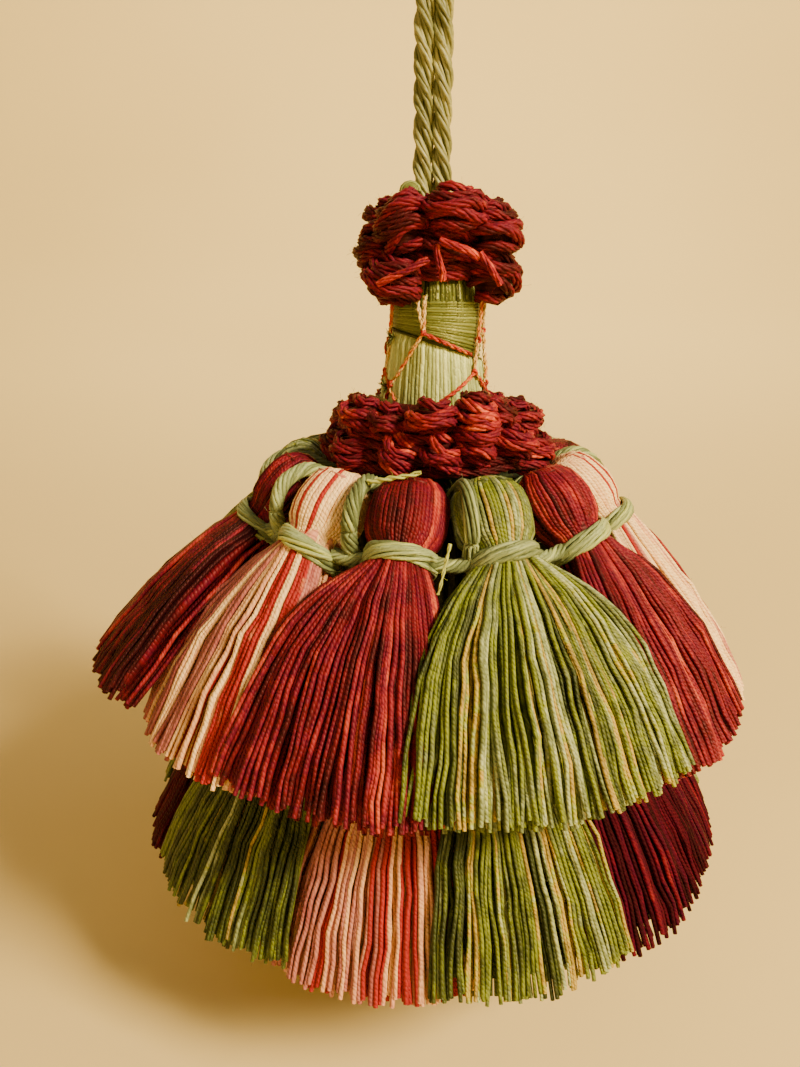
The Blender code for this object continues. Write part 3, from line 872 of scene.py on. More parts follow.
@dataclass
class Neck:
    """The turned mould covered in satin floss, and the base that carries both tiers."""

    winding: Table = (  # (radius, drop)
        (0.0050, 0.0586), (0.0058, 0.0598), (0.0062, 0.0622), (0.0062, 0.0648),
        (0.0060, 0.0672), (0.0058, 0.0700), (0.0054, 0.0712),
    )
    apron: Table = (
        (0.0058, 0.0681), (0.0064, 0.0685), (0.0067, 0.0706), (0.0072, 0.0738),
        (0.0076, 0.0770), (0.0077, 0.0850), (0.0090, 0.0886), (0.0158, 0.0889),
        (0.0168, 0.0896), (0.0174, 0.0930), (0.0172, 0.0990), (0.0157, 0.1060),
        (0.0156, 0.1140), (0.0130, 0.1195), (0.0060, 0.1200),
    )
    floss: float = 0.00032
    band: tuple[float, float] = (0.0625, 0.0680)  # drops of the first and last turn of the band
    band_radius: float = 0.00617
    shadow_line_radius: float = 0.0064
    tilt: float = 0.0021  # how far the edge of the winding slopes down to the right
    tilt_from: float = math.radians(10.0)
    tufts: Table = ((-60.0, 0.0671, 0.0066), (-64.0, 0.0738, 0.0074))  # (azimuth, drop, radius)
    bump: tuple[float, float, float] = (-0.0036, -0.0016, -0.0487)
    seed: int = 41

    def lower(self, azimuth: float) -> float:
        """How far the winding's edge lies below its middle at an azimuth."""
        return self.tilt * math.sin(azimuth - self.tilt_from)

    def stand(
        self, profile: Table, count: int, batch: Strands, rng: random.Random,
        tints: tuple[float, float], sink: float = 0.0, tilted: bool = False, broad: float = 1.0,
    ) -> None:
        """Lays upright strands side by side down a turned profile.

        Args:
            profile: The (radius, drop) rows, from the top down.
            count: How many strands go round.
            batch: Where the strands go.
            rng: The source of small differences.
            tints: Lowest and highest place on the ramp of shades.
            sink: How far below the profile the strands lie.
            tilted: True where the upper edge slopes down to the right.
            broad: The strands' thickness as a share of the floss.
        """
        line = smooth_points([Vector((radius, 0.0, -drop)) for radius, drop in profile], 0.0014)
        for number in range(count):
            azimuth = TURN * (number + rng.uniform(-0.15, 0.15)) / count
            lift = rng.uniform(-0.00008, 0.00008) - sink
            low = self.lower(azimuth) if tilted else 0.0
            path = [polar(point.x + lift - self.floss * 0.6, azimuth,
                          -point.z + low * (1.0 - index / (len(line) - 1)) ** 2)
                    for index, point in enumerate(line)]
            batch.add(path, self.floss * broad * rng.uniform(1.0, 1.25), rng.uniform(*tints),
                      start=rng.uniform(0.0, 0.05))

    def build(self) -> None:
        """Covers the neck and the base."""
        rng = random.Random(self.seed)
        upper = Strands("neck_winding_floss", NECK_FLOSS, seed=3.0)
        # Painted shade: the winding under the upper ruff takes the dark end of the ramp
        self.stand(self.winding, 70, upper, rng, (-0.05, 0.3), sink=0.0001)
        self.stand(self.winding[:3], 26, upper, rng, (0.5, 0.9), broad=0.6)
        self.add_band(upper, rng)
        for tuft in self.tufts:
            self.add_tuft(upper, rng, *tuft)
        self.add_bump(upper)
        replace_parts(upper.bake(), "neck_winding")
        lower = Strands("neck_apron_floss", NECK_FLOSS, wander=0.0003, seed=5.0)
        self.stand(self.apron[:5] + ((0.0077, 0.0830),), 84, lower, rng, (0.62, 1.0), tilted=True)
        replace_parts(lower.bake(), "neck_apron")
        under = Strands("neck_base_floss", SHADED_BASE_FLOSS, 4, seed=7.0)
        self.stand(((0.0078, 0.0826),) + self.apron[5:], 60, under, rng, (0.0, 1.0), broad=2.4)
        under.bake()

    def add_band(self, batch: Strands, rng: random.Random) -> None:
        """Winds the level band and the dark edge under it.

        Args:
            batch: Where the turns go.
            rng: The source of small differences.
        """
        turns = round((self.band[1] - self.band[0]) / (1.15 * self.floss))
        for number in range(turns):
            share = (number + 0.5) / turns
            drop = self.band[0] + (self.band[1] - self.band[0]) * share
            radius = self.band_radius - 0.0001 * abs(2 * share - 1)
            radius += rng.uniform(-0.00004, 0.00004)
            ring = [polar(radius, azimuth, drop + self.lower(azimuth) * share * share)
                    for azimuth in angles(40)]
            batch.add(ring, self.floss * 0.9, rng.uniform(0.25, 0.5), closed=True)
        # Painted shade: a thin ring in the darkest tint draws the shadow line under the band, at
        # the winding's edge
        edge = [polar(self.shadow_line_radius, azimuth, self.apron[0][1] + self.lower(azimuth) + 0.0002)
                for azimuth in angles(40)]
        batch.add(edge, 0.0002, -0.05, closed=True)

    @staticmethod
    def add_tuft(
        batch: Strands, rng: random.Random, azimuth: float, drop: float, radius: float,
    ) -> None:
        """Adds a small dark tuft where a floss end is tied off.

        Args:
            batch: Where its fibres go.
            rng: The source of their directions.
            azimuth: The tuft's place round the neck, in degrees.
            drop: The tuft's drop.
            radius: The radius that it grows from.
        """
        for _ in range(46):
            turn, rise = rng.uniform(-0.9, 0.9), rng.uniform(-0.0013, 0.0015)
            reach = rng.uniform(0.0004, 0.0013)
            path = [polar(radius + reach * share, math.radians(azimuth) + turn * 0.10 * share,
                          drop + rise * share * share) for share in (0.0, 0.4, 0.75, 1.0)]
            batch.add(path, 0.00006, rng.choice((-0.1, 0.0, 0.1, 0.7)), taper=0.4)

    def add_bump(self, batch: Strands) -> None:
        """Adds the small pad of floss that shows beside the cord's foot.

        Args:
            batch: Where its turns go.
        """
        for number in range(18):
            size = 0.0003 + 0.00006 * number
            deep = 0.0011 * math.sin(2.4 * number) * (1.0 - number / 24)
            path = [Vector(self.bump)
                    + Vector((-size * math.cos(turn), deep, 0.9 * size * math.sin(turn)))
                    for turn in (math.pi * part / 6 for part in range(7))]
            batch.add(path, 0.00018, 0.5 + 0.15 * math.sin(1.7 * number))


@dataclass
class Net:
    """The knotted net of thin variegated thread over the neck."""

    thread: float = 0.00017
    seed: int = 17
    cells: Table = (  # one repeat in front: (azimuth, drop) from, (azimuth, drop) to, tint
        (-14.3, 61.8, -16.2, 66.5, 0.72), (-24.0, 61.5, -16.2, 66.5, 0.85),
        (-16.2, 66.5, 42.0, 69.4, 0.42), (62.0, 61.5, 53.7, 67.5, 0.55),
        (53.7, 67.5, 45.7, 71.7, 0.9), (45.7, 71.7, 3.0, 75.4, 0.42),
        (45.7, 71.7, 74.0, 75.4, 0.5), (-16.2, 66.5, -54.0, 73.3, 0.75),
        (-54.0, 73.3, -62.0, 75.4, 0.3),
    )
    knots: Table = ((-16.2, 66.5), (45.7, 71.7), (-54.0, 73.3), (53.7, 67.5))  # (azimuth, drop)

    @staticmethod
    def surface(drop: float) -> float:
        """Radius of the thread's middle at a drop."""
        return 0.0069 + max(0.0, drop - 0.0700) * 0.17

    def build(self) -> None:
        """Ties the net in front and repeats it round the back."""
        rng = random.Random(self.seed)
        batch = Strands("neck_net_thread", NET_YARN, 6, 0.0003, seed=9.0)
        for turn in (0.0, 120.0, 240.0):
            for first, high, second, low, tint in self.cells:
                route = []
                for share in (part / 8 for part in range(9)):
                    drop = (high + (low - high) * share) / 1000
                    azimuth = math.radians(turn + first + (second - first) * share)
                    route.append(polar(self.surface(drop), azimuth, drop))
                fine = smooth_points(route, 0.00035)
                for ply in lay_round(fine, 2, self.thread * 0.85, 0.0022):
                    batch.add(ply, self.thread, tint + rng.uniform(-0.12, 0.12),
                              start=rng.uniform(0.0, 0.03))
            for azimuth, drop in self.knots:
                self.add_knot(batch, math.radians(turn + azimuth), drop / 1000, rng)
        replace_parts(batch.bake((500000.0, 0.0006, 0.000016)), "neck_net")

    def add_knot(self, batch: Strands, azimuth: float, drop: float, rng: random.Random) -> None:
        """Adds a small round knot of two crossed turns.

        Args:
            batch: Where the turns go.
            azimuth: The knot's place round the neck.
            drop: The knot's drop.
            rng: The source of small differences.
        """
        centre = polar(self.surface(drop), azimuth, drop)
        out = Vector((centre.x, centre.y, 0.0)).normalized()
        up = Vector((0.0, 0.0, 1.0))
        for _ in range(2):
            tilt = rng.uniform(-0.8, 0.8)
            lift = math.cos(tilt) * up + math.sin(tilt) * up.cross(out)
            ring = [centre + 0.00034 * (math.cos(turn) * lift + math.sin(turn) * out)
                    for turn in angles(12, 0.0)]
            batch.add(ring, self.thread * 1.1, rng.uniform(0.2, 0.5), closed=True)


@dataclass
class SmallTassel:
    """One small tassel of a tier: a folded head and a cut skirt, tied at its waist."""

    name: str
    node: str
    yarn: Colourway
    azimuth: float
    left: float
    right: float
    raised: float
    tie: tuple[float, float]
    foot: tuple[float, float]
    head: Table
    crown: float
    seed: int
    # Painted shade for a tier in the shade of the one above: darker greens and duskier ecru, and in
    # the cream also more red strands
    painted_shade_and_reds: float
    folds: int
    strand: float
    card: Table  # (share of the width that it reaches to, place on the ramp)
    left_over: bool = True
    right_over: bool = True
    waist_half: float = 0.0013
    waist_radius: float = 0.0037
    waist_depth: float = 0.0035
    end_thickness: float = 0.0050
    bulge: float = 0.0014
    overlap: float = math.radians(3.6)
    tuck: float = math.radians(4.2)
    edge_lift: float = 0.0009
    clump: float = 0.17  # width of the groups that strands cling together in
    layers: Table = (  # (depth, strands as a share of the width, lengths in each)
        (1.0, 1.10, 13), (0.66, 0.92, 11), (-0.35, 0.30, 7), (-1.0, 0.58, 8),
    )
    fuzz: tuple[float, float, float] = (9000.0, 0.0016, 0.000010)

    def __post_init__(self) -> None:
        """Works out the slant of the head and of the skirt."""
        run = self.foot[0] - self.tie[0]
        fall = self.foot[1] - self.tie[1]
        self.length = math.hypot(run, fall)
        self.slope = math.atan2(fall, run)
        self.skirt_slope = math.atan2(fall - self.raised, run + self.raised)
        self.level = {Colourway.CREAM: 0, Colourway.GREEN: 2}.get(self.yarn, 1)

    def place(self, side: float, out: float, along: float) -> Vector:
        """A point of the tassel, bent round the main axis.

        Args:
            side: Distance to the right of its middle.
            out: Distance outwards from its middle line.
            along: Distance down from the tie.

        Returns:
            The point.
        """
        share = min(1.0, max(0.0, along / (4 * self.waist_half)))
        slope = self.slope + (self.skirt_slope - self.slope) * share
        radius = self.tie[0] + math.cos(slope) * along + math.sin(slope) * out
        drop = self.tie[1] + math.sin(slope) * along - math.cos(slope) * out
        return polar(radius, self.azimuth + side / radius, drop)

    def waist(self, turn: float, puff: float, along: float, out: float = 0.0) -> Vector:
        """A point that stands a distance off the waist, at an angle round it."""
        return self.place((self.waist_radius + puff) * math.sin(turn),
                          (self.waist_depth + puff) * math.cos(turn) + out, along)

    def skirt_path(
        self, edge: float, drift: float, gather: float, depth: float, extra: float,
        power: float, samples: int,
    ) -> list[Vector]:
        """One strand of the skirt.

        Args:
            edge: Place from -1 at the left edge to 1 at the right.
            drift: How far it strays sideways on its way down, as a share of the same.
            gather: How far its end leans towards the strands that it clings to.
            depth: Layer from -1 at the back to 1 in front.
            extra: Difference of its length.
            power: How fast it swings out sideways below the tie.
            samples: How many lengths it has.

        Returns:
            Points from the waist to the cut end.
        """
        over = self.right_over if edge > 0 else self.left_over
        reach = (self.right if edge > 0 else self.left) + (self.overlap if over else self.tuck)
        lift = self.edge_lift * max(0.0, abs(edge) - 0.5) / 0.5 * (1.0 if over else -1.0)
        tight = (self.waist_radius - self.strand) * (1 - 0.15 * abs(depth))
        path = []
        for number in range(samples + 1):
            share = (number / samples) ** 1.35
            along = (self.length + extra) * share * math.cos(0.30 * edge)
            radius = self.tie[0] + math.cos(self.skirt_slope) * along
            spread = 1.0 - (1.0 - share) ** power
            place = edge + drift * math.sin(math.pi * share) + gather * share * share
            side = place * (tight + (reach * radius - tight) * spread)
            half = self.waist_depth - self.strand
            half += (self.end_thickness / 2 - half) * share
            half *= math.sqrt(1.0 - (0.88 - 0.38 * min(1.0, 3 * share)) * edge * edge)
            out = 4 * self.bulge * share * (1.0 - share) + depth * half
            out += (lift + 0.0004 * (self.level - 1) * max(depth, 0.0)) * min(1.0, 4 * share)
            path.append(self.place(side, out, along))
        return path

    def tints(self, count: int, rng: random.Random) -> list[float]:
        """Shades of neighbouring strands, which come off the same card of yarn in runs.

        Args:
            count: How many strands.
            rng: The source of the runs.

        Returns:
            One place on the ramp for each strand.
        """
        result = []
        while len(result) < count:
            run = rng.choice((1, 1, 1, 2))
            if self.yarn is Colourway.CREAM:
                # A darkened tier deals more red strands, and its ecru strands take duskier places
                # on the ramp as painted shade
                red = rng.random() < 0.20 + 0.25 * self.painted_shade_and_reds
                value = rng.uniform(0.80, 0.98) if red else rng.triangular(0.05, 0.6, 0.46)
                value -= 0.0 if red else 0.7 * self.painted_shade_and_reds * rng.random()
                run = rng.choice((1, 2, 2, 3)) if red else run
            elif self.yarn is not Colourway.GREEN:
                value = rng.triangular(0.0, 0.95, 0.42)
            elif rng.random() < 0.10:
                value, run = 0.93, 1
            else:
                # Painted shade: a darkened tier's greens take darker places on the ramp
                value = rng.triangular(0.0, 0.80, 0.52) * (1.0 - 0.4 * self.painted_shade_and_reds)
            result += [value + rng.uniform(-0.05, 0.05) for _ in range(run)]
        return result[:count]

    def dealt(self, count: int, rng: random.Random) -> list[float]:
        """Shades of the front strands, as the card of yarn gives them where there is one.

        Args:
            count: How many strands.
            rng: The source of small differences.

        Returns:
            One place on the ramp for each strand, from the left edge to the right.
        """
        shades = self.tints(count, rng)
        for number in range(count if self.card else 0):
            tint = next(tint for reach, tint in self.card if number / count < reach)
            if rng.random() < 0.82:
                shades[number] = tint + rng.uniform(-0.07, 0.07)
        return shades

    def build(self) -> None:
        """Lays the skirt and the head, and stands for the tassel's node."""
        rng = random.Random(self.seed)
        batch = Strands(self.name, self.yarn.value, 5, 0.0015, 230.0, float(self.seed % 97))
        arc = (self.left + self.right + self.overlap + self.tuck) * self.foot[0]
        across = max(12, round(arc / (2 * self.strand * 0.95)))
        filling = round(across * 0.50)
        # Painted shade: thick filling strands inside the skirt take half their tint, darker than
        # the strands over them
        for number in range(filling):
            edge = (2 * (number + 0.5) / filling - 1) * 0.80
            path = self.skirt_path(edge, 0.0, 0.0, 0.1, -0.0022, 4.4, 8)
            batch.add(path, self.strand * 2.1, self.tints(1, rng)[0] * 0.5)
        for depth, share, samples in self.layers:
            count = round(across * share)
            shades = self.dealt(count, rng) if depth > 0.3 else self.tints(count, rng)
            for number in range(count):
                edge = 2 * (number + 0.5 + rng.uniform(-0.3, 0.3)) / count - 1
                edge = max(-1.0, min(1.0, edge)) * 1.03
                clump = (math.floor(edge / self.clump + depth) + 0.5 - depth) * self.clump
                path = self.skirt_path(
                    edge, rng.uniform(-0.035, 0.035), (clump - edge) * rng.uniform(0.1, 0.55),
                    depth + rng.uniform(-0.12, 0.12), rng.uniform(-0.0008, 0.0005),
                    rng.uniform(3.6, 5.2), samples)
                batch.add(path, self.strand * rng.uniform(0.9, 1.1), shades[number],
                          start=rng.uniform(0.0, 0.1), taper=0.92)
        self.add_head(batch, rng)
        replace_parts(batch.bake(self.fuzz), self.node)

    def add_head(self, batch: Strands, rng: random.Random) -> None:
        """Folds strands over the crown, from the waist in front to the waist behind.

        Args:
            batch: Where the strands go.
            rng: The source of small differences.
        """
        coarse = 28 / self.folds  # fewer strands are thicker
        rows = [*self.head, (self.waist_half, self.waist_radius, self.waist_depth),
                (-self.waist_half, self.waist_radius, self.waist_depth)]
        shades = self.tints(self.folds, rng)
        if self.yarn is Colourway.CREAM:
            shades = [0.9 if number in (9, 12, 17) else min(max(shade, 0.44), 0.54)
                      for number, shade in enumerate(shades)]
        for number, shade in enumerate(shades):
            lean = -84.0 + 168.0 * (number + rng.uniform(-0.2, 0.2)) / (self.folds - 1)
            across, deep = math.sin(math.radians(lean)), math.cos(math.radians(lean))
            front, back = ([self.place((wide - self.strand) * across,
                                       face * (half - self.strand) * deep, -above)
                            for above, wide, half in rows] for face in (1, -1))
            top = self.place(self.head[0][1] * across * 0.92, 0.0, -self.crown + self.strand)
            path = smooth_points(front[::-1] + [top] + back, 0.0015 * 28 / self.folds)
            batch.add(path, self.strand * coarse * rng.uniform(1.0, 1.15), shade,
                      start=rng.uniform(0.0, 0.05))
        for turn in angles(6, 0.0):
            path = [self.place(0.0022 * math.cos(turn), 0.0020 * math.sin(turn), -above)
                    for above in (9.6e-3, 6e-3, 3e-3, 0.0)]
            batch.add(path, 0.0018, 0.2)


@dataclass
class Tier:
    """A ring of small tassels, their floss ties and the links between them."""

    prefix: str
    ring_node: str
    tie: tuple[float, float]
    foot: tuple[float, float]
    head: Table
    crown: float
    seed: int
    around: tuple[tuple, ...]  # (yarn, azimuth of the tie, azimuth of the right edge, raised by)
    folds: int = 28  # strands of a head
    threads: int = 11  # strands of a tie
    slants: tuple[float, ...] = ()  # how far each tie slopes down to its right, from the first
    cards: dict[int, Table] = field(default_factory=dict)  # number to its card of shades
    floss: float = 0.00029
    # Painted shade for a tier in the shade of the one above: darker greens and duskier ecru, and in
    # the cream also more red strands
    painted_shade_and_reds: float = 0.0
    puff: float = 0.0004  # how far the ties' filling stands off the waist

    def tassels(self) -> list[SmallTassel]:
        """Places the tier's small tassels.

        Returns:
            The tassels in order round it.
        """
        result = []
        for index, (yarn, azimuth, right, raised) in enumerate(self.around):
            left = self.around[index - 1][2] - (360.0 if index == 0 else 0.0)
            node = "%s_%02d" % (self.prefix, index + 1)
            result.append(SmallTassel(
                name=node + "_strands", node=node, yarn=yarn, azimuth=math.radians(azimuth),
                left=math.radians(azimuth - left), right=math.radians(right - azimuth),
                raised=raised, tie=self.tie, foot=self.foot, head=self.head,
                crown=self.crown, seed=self.seed + 13 * index, painted_shade_and_reds=self.painted_shade_and_reds,
                card=self.cards.get(index + 1, ()), folds=self.folds,
                strand={Colourway.GREEN: 0.00028, Colourway.CREAM: 0.00034}.get(yarn, 0.00031),
            ))
        for index, tassel in enumerate(result):
            tassel.left_over = tassel.level > result[index - 1].level
            tassel.right_over = tassel.level >= result[(index + 1) % len(result)].level
        return result

    def build(self) -> list[SmallTassel]:
        """Makes the tassels and ties them.

        Returns:
            The small tassels.
        """
        made = self.tassels()
        for tassel in made:
            tassel.build()
        self.build_ties(made)
        return made

    def build_ties(self, tassels: list[SmallTassel]) -> None:
        """Binds each waist with a flat band of floss and twists it on to the next.

        Args:
            tassels: The tier's small tassels.
        """
        rng = random.Random(self.seed + 5)
        batch = Strands(self.ring_node + "_floss", TIE_FLOSS, 4, 0.0003, 400.0, 4.0)
        for index, tassel in enumerate(tassels):
            slant = self.slants[index] if index < len(self.slants) else rng.uniform(-6e-4, 6e-4)
            shift = rng.uniform(-0.0002, 0.0003)
            core = [tassel.waist(turn, self.puff, shift + slant * math.sin(turn))
                    for turn in angles(20, 0.0)]
            batch.add(core, 0.00062, 0.35, closed=True)
            for number in range(self.threads):
                ring = []
                for turn in angles(28):
                    band = TURN * number / self.threads + turn + 0.5 * math.sin(turn + number)
                    ring.append(tassel.waist(
                        turn, 0.00052 + 0.00034 * math.sin(band),
                        shift + 0.00095 * math.cos(band) + slant * math.sin(turn)))
                batch.add(ring, self.floss * 11 / self.threads * rng.uniform(0.85, 1.15),
                          rng.uniform(0.2, 0.9), closed=True)
            following = tassels[(index + 1) % len(tassels)]
            reach = tassel.waist_radius + self.puff
            start = tassel.place(reach, 0.0004, 0.0)
            stop = following.place(-reach, 0.0004, 0.0)
            middle = (start + stop) / 2 + Vector((0.0, 0.0, -0.0005))
            link = smooth_points([start, middle, stop], 0.0005)
            for ply in lay_round(link, 7, 0.00062, -0.0064):
                batch.add(ply, 0.00032, rng.uniform(0.2, 0.8))
        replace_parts(batch.bake((60000.0, 0.0009, 0.000011)), self.ring_node)


@dataclass
class Hangers:
    """Twisted floss that drops from under the lower ruff between the upper heads."""

    route: Table = (  # (radius, drop)
        (0.0130, 0.0873), (0.0165, 0.0855), (0.0204, 0.0838), (0.0235, 0.0852),
        (0.0248, 0.0880), (0.0246, 0.0906), (0.0238, 0.0932),
    )
    tucked: Table = ((0.0252, 0.0896), (0.0241, 0.0927))  # the last rows of a straight one
    straight: int = 3  # the one whose floss lies untwisted against a head
    straight_turn: float = 0.085  # how far it stands towards the next head
    behind: tuple[int, ...] = (4, 5)  # those that go down behind the heads
    inset: float = 0.0050
    seed: int = 77
    ends: Table = (  # loose thread ends: (azimuth, drop, radius) at both ends, mm, half width, tint
        (-24.0, 83.4, 21.8, -7.0, 82.0, 21.2, 0.24, 0.9),
        (1.6, 88.8, 27.8, -1.2, 94.6, 28.8, 0.15, 1.15),
    )

    def build(self, tassels: list[SmallTassel]) -> None:
        """Hangs one twisted rope between each two heads.

        Args:
            tassels: The upper tier's small tassels.
        """
        rng = random.Random(self.seed)
        for index, tassel in enumerate(tassels):
            straight = index + 1 == self.straight
            following = tassels[(index + 1) % len(tassels)]
            azimuth = tassel.azimuth + (following.azimuth - tassel.azimuth) % TURN / 2
            azimuth += self.straight_turn if straight else 0.0
            inset = self.inset if index + 1 in self.behind else 0.0
            table = self.route[:-2] + self.tucked if straight else self.route
            line = smooth_points([polar(radius - inset, azimuth, drop + 0.5 * inset)
                                  for radius, drop in table], 0.0006)
            node = "hanger_%02d" % (index + 1)
            batch = Strands(node + "_floss", TIE_FLOSS, wander=0.0008, seed=6.0 + index)
            lay = -0.040 if straight else -0.0082
            for ply in lay_round(line, 8, 0.00074, lay, start=rng.uniform(0.0, TURN)):
                batch.add(ply, 0.00033, rng.uniform(0.1, 0.85), start=rng.uniform(0.0, 0.02),
                          taper=0.6 if straight else 1.0)
            for ply in lay_round(line, 3, 0.00028, lay):
                batch.add(ply, 0.00036, 0.3)
            for *ends, half, tint in self.ends if straight else ():
                fine = smooth_points(drape(ends, [0.0, 0.35, 0.7, 1.0]), 0.0007)
                for ply in lay_round(fine, 2, half * 0.0008, 0.003):
                    batch.add(ply, half / 1000, tint, taper=0.7)
            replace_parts(batch.bake((250000.0, 0.0008, 0.000012)), node)


@dataclass
class Studio:
    """The camera, the pale floor and the soft lights."""

    distance: float = 0.120
    pitch: float = math.radians(16.9)
    aim_x: float = -33.0 / 800
    aim_drop: float = 0.096
    lens: float = 800 / 1067 * 36
    floor_drop: float = 0.162
    cove: Table = (  # (distance from the axis, height over the floor)
        (0.0, 0.0), (0.25, 0.0), (0.65, 0.03), (1.0, 0.13), (1.25, 0.32), (1.38, 0.62),
        (1.42, 1.0), (1.42, 1.5),
    )
    cove_sides: int = 48
    aim: tuple[float, float, float] = (0.0, 0.0, -0.1)
    lights: tuple[tuple, ...] = (  # (name, place, aim, side, watts, sRGB hex)
        ("Key", (0.36, -0.30, 0.24), aim, 0.14, 9.0, "FFE6C2"),
        ("Fill", (-0.45, -0.55, 0.10), aim, 0.40, 0.8, "FFEEDC"),
        ("Backdrop wash", (0.15, 0.40, 0.70), (0.0, 1.40, 0.30), 0.5, 21.0, "FFE9C4"),
    )
    world: tuple[str, float] = ("D2D8EA", 0.30)  # (sRGB hex, strength)

    def add_camera(self) -> None:
        """Stands the camera where the photograph was taken from."""
        data = bpy.data.cameras.new("Camera")
        data.lens = self.lens
        data.sensor_width = 36.0
        data.clip_start, data.clip_end = 0.001, 20.0
        camera = bpy.data.objects.new("Camera", data)
        camera.location = (
            self.aim_x * self.distance, -self.distance * math.cos(self.pitch),
            -self.aim_drop + self.distance * math.sin(self.pitch),
        )
        camera.rotation_euler = (math.pi / 2 - self.pitch, 0.0, 0.0)
        bpy.context.scene.collection.objects.link(camera)
        bpy.context.scene.camera = camera

    def add_floor(self) -> None:
        """Lays the pale floor, which curves up all round as a sheet of paper does."""
        sides = self.cove_sides
        line = smooth_points([Vector((x, 0.0, z - self.floor_drop)) for x, z in self.cove], 0.08)
        points = [Vector((0.0, 0.0, -self.floor_drop))]
        points += [Vector((point.x * math.cos(turn), point.x * math.sin(turn), point.z))
                   for point in line[1:] for turn in angles(sides, 0.0)]
        faces = []
        for part in range(sides):
            after = (part + 1) % sides
            faces.append((0, 1 + part, 1 + after))
            for low in range(1, 1 + sides * (len(line) - 2), sides):
                high = low + sides
                faces.append((low + part, high + part, high + after, low + after))
        mesh = bpy.data.meshes.new("pale_floor")
        mesh.from_pydata(points, [], faces)
        mesh.shade_smooth()
        mesh.materials.append(BackdropFinish().build())
        floor = bpy.data.objects.new("pale_floor", mesh)
        bpy.context.scene.collection.objects.link(floor)

    def build(self) -> None:
        """Lays the floor and lights the scene, with square lights that face the tassel."""
        self.add_floor()
        for name, place, aim, size, power, colour in self.lights:
            data = bpy.data.lights.new(name, "AREA")
            data.size, data.energy, data.color = size, power, linear(colour)[:3]
            light = bpy.data.objects.new(name, data)
            light.location = place
            way = Vector(aim) - Vector(place)
            light.rotation_euler = way.to_track_quat("-Z", "Y").to_euler()
            bpy.context.scene.collection.objects.link(light)
        world = bpy.data.worlds.new("Studio")
        world.use_nodes = True
        sky = world.node_tree.nodes["Background"].inputs
        sky["Color"].default_value = linear(self.world[0])
        sky["Strength"].default_value = self.world[1]
        bpy.context.scene.world = world


RED, SHADED_RED, CREAM, GREEN = Colourway

UPPER_RUFF = Ruff(
    node="upper_ruff", inner=0.0040, yarn=0.00070, seed=21, fuzz=(170000.0, 0.0010, 0.000013),
    sweep=152.0,
    core=(
        (0.0050, 0.0510, 0.0), (0.0056, 0.0520, 0.0), (0.0060, 0.0531, 0.0),
        (0.0064, 0.0543, 0.0003), (0.0066, 0.0555, 0.0003), (0.0067, 0.0567, 0.0003),
        (0.0067, 0.0579, 0.0004), (0.0064, 0.0590, 0.0004),
    ),
    strays=(
        (0.0, 55.2, 8.8, 34.0, 57.0, 9.0, 0.78), (-3.0, 55.6, 8.4, 3.0, 60.0, 7.6, 0.74),
        (-40.0, 60.4, 12.0, -8.0, 57.4, 9.4, 0.74), (34.0, 56.6, 9.2, 47.0, 60.4, 11.0, 0.76),
    ),
    # Painted light and shade in the tints: the lower lobes and the small one in front of the cord's
    # foot are darker than the upper ones
    lobes=(
        (-37.0, 53.0, 11.4, 4.4, 3.9, -26.0, 0.31), (-8.0, 51.4, 6.8, 2.4, 2.2, 0.0, 0.15),
        (17.0, 51.6, 11.0, 4.5, 3.4, -5.0, 0.33), (60.0, 53.8, 12.4, 4.4, 3.6, 5.0, 0.29),
        (66.0, 59.2, 12.2, 4.4, 3.7, 14.0, 0.25), (-46.0, 59.6, 12.2, 4.5, 3.4, 14.0, 0.25),
        (-80.0, 56.2, 11.6, 4.3, 4.2, -8.0, 0.21), (12.0, 56.6, 8.4, 4.4, 2.2, 6.0, 0.21),
        (92.0, 55.6, 11.4, 3.6, 4.2, 0.0, 0.23), (108.0, 52.4, 11.4, 4.3, 3.6, 0.0, 0.31),
        (112.0, 59.0, 11.4, 4.2, 3.6, 5.0, 0.27), (152.0, 52.2, 11.2, 4.4, 3.6, -8.0, 0.31),
        (156.0, 58.8, 11.4, 4.3, 3.7, 0.0, 0.27), (-162.0, 52.5, 11.2, 4.4, 3.6, 6.0, 0.31),
        (-160.0, 59.1, 11.4, 4.2, 3.6, 0.0, 0.27), (-120.0, 52.2, 11.4, 4.3, 3.6, 0.0, 0.31),
        (-118.0, 58.9, 11.2, 4.2, 3.6, -5.0, 0.27),
    ),
)
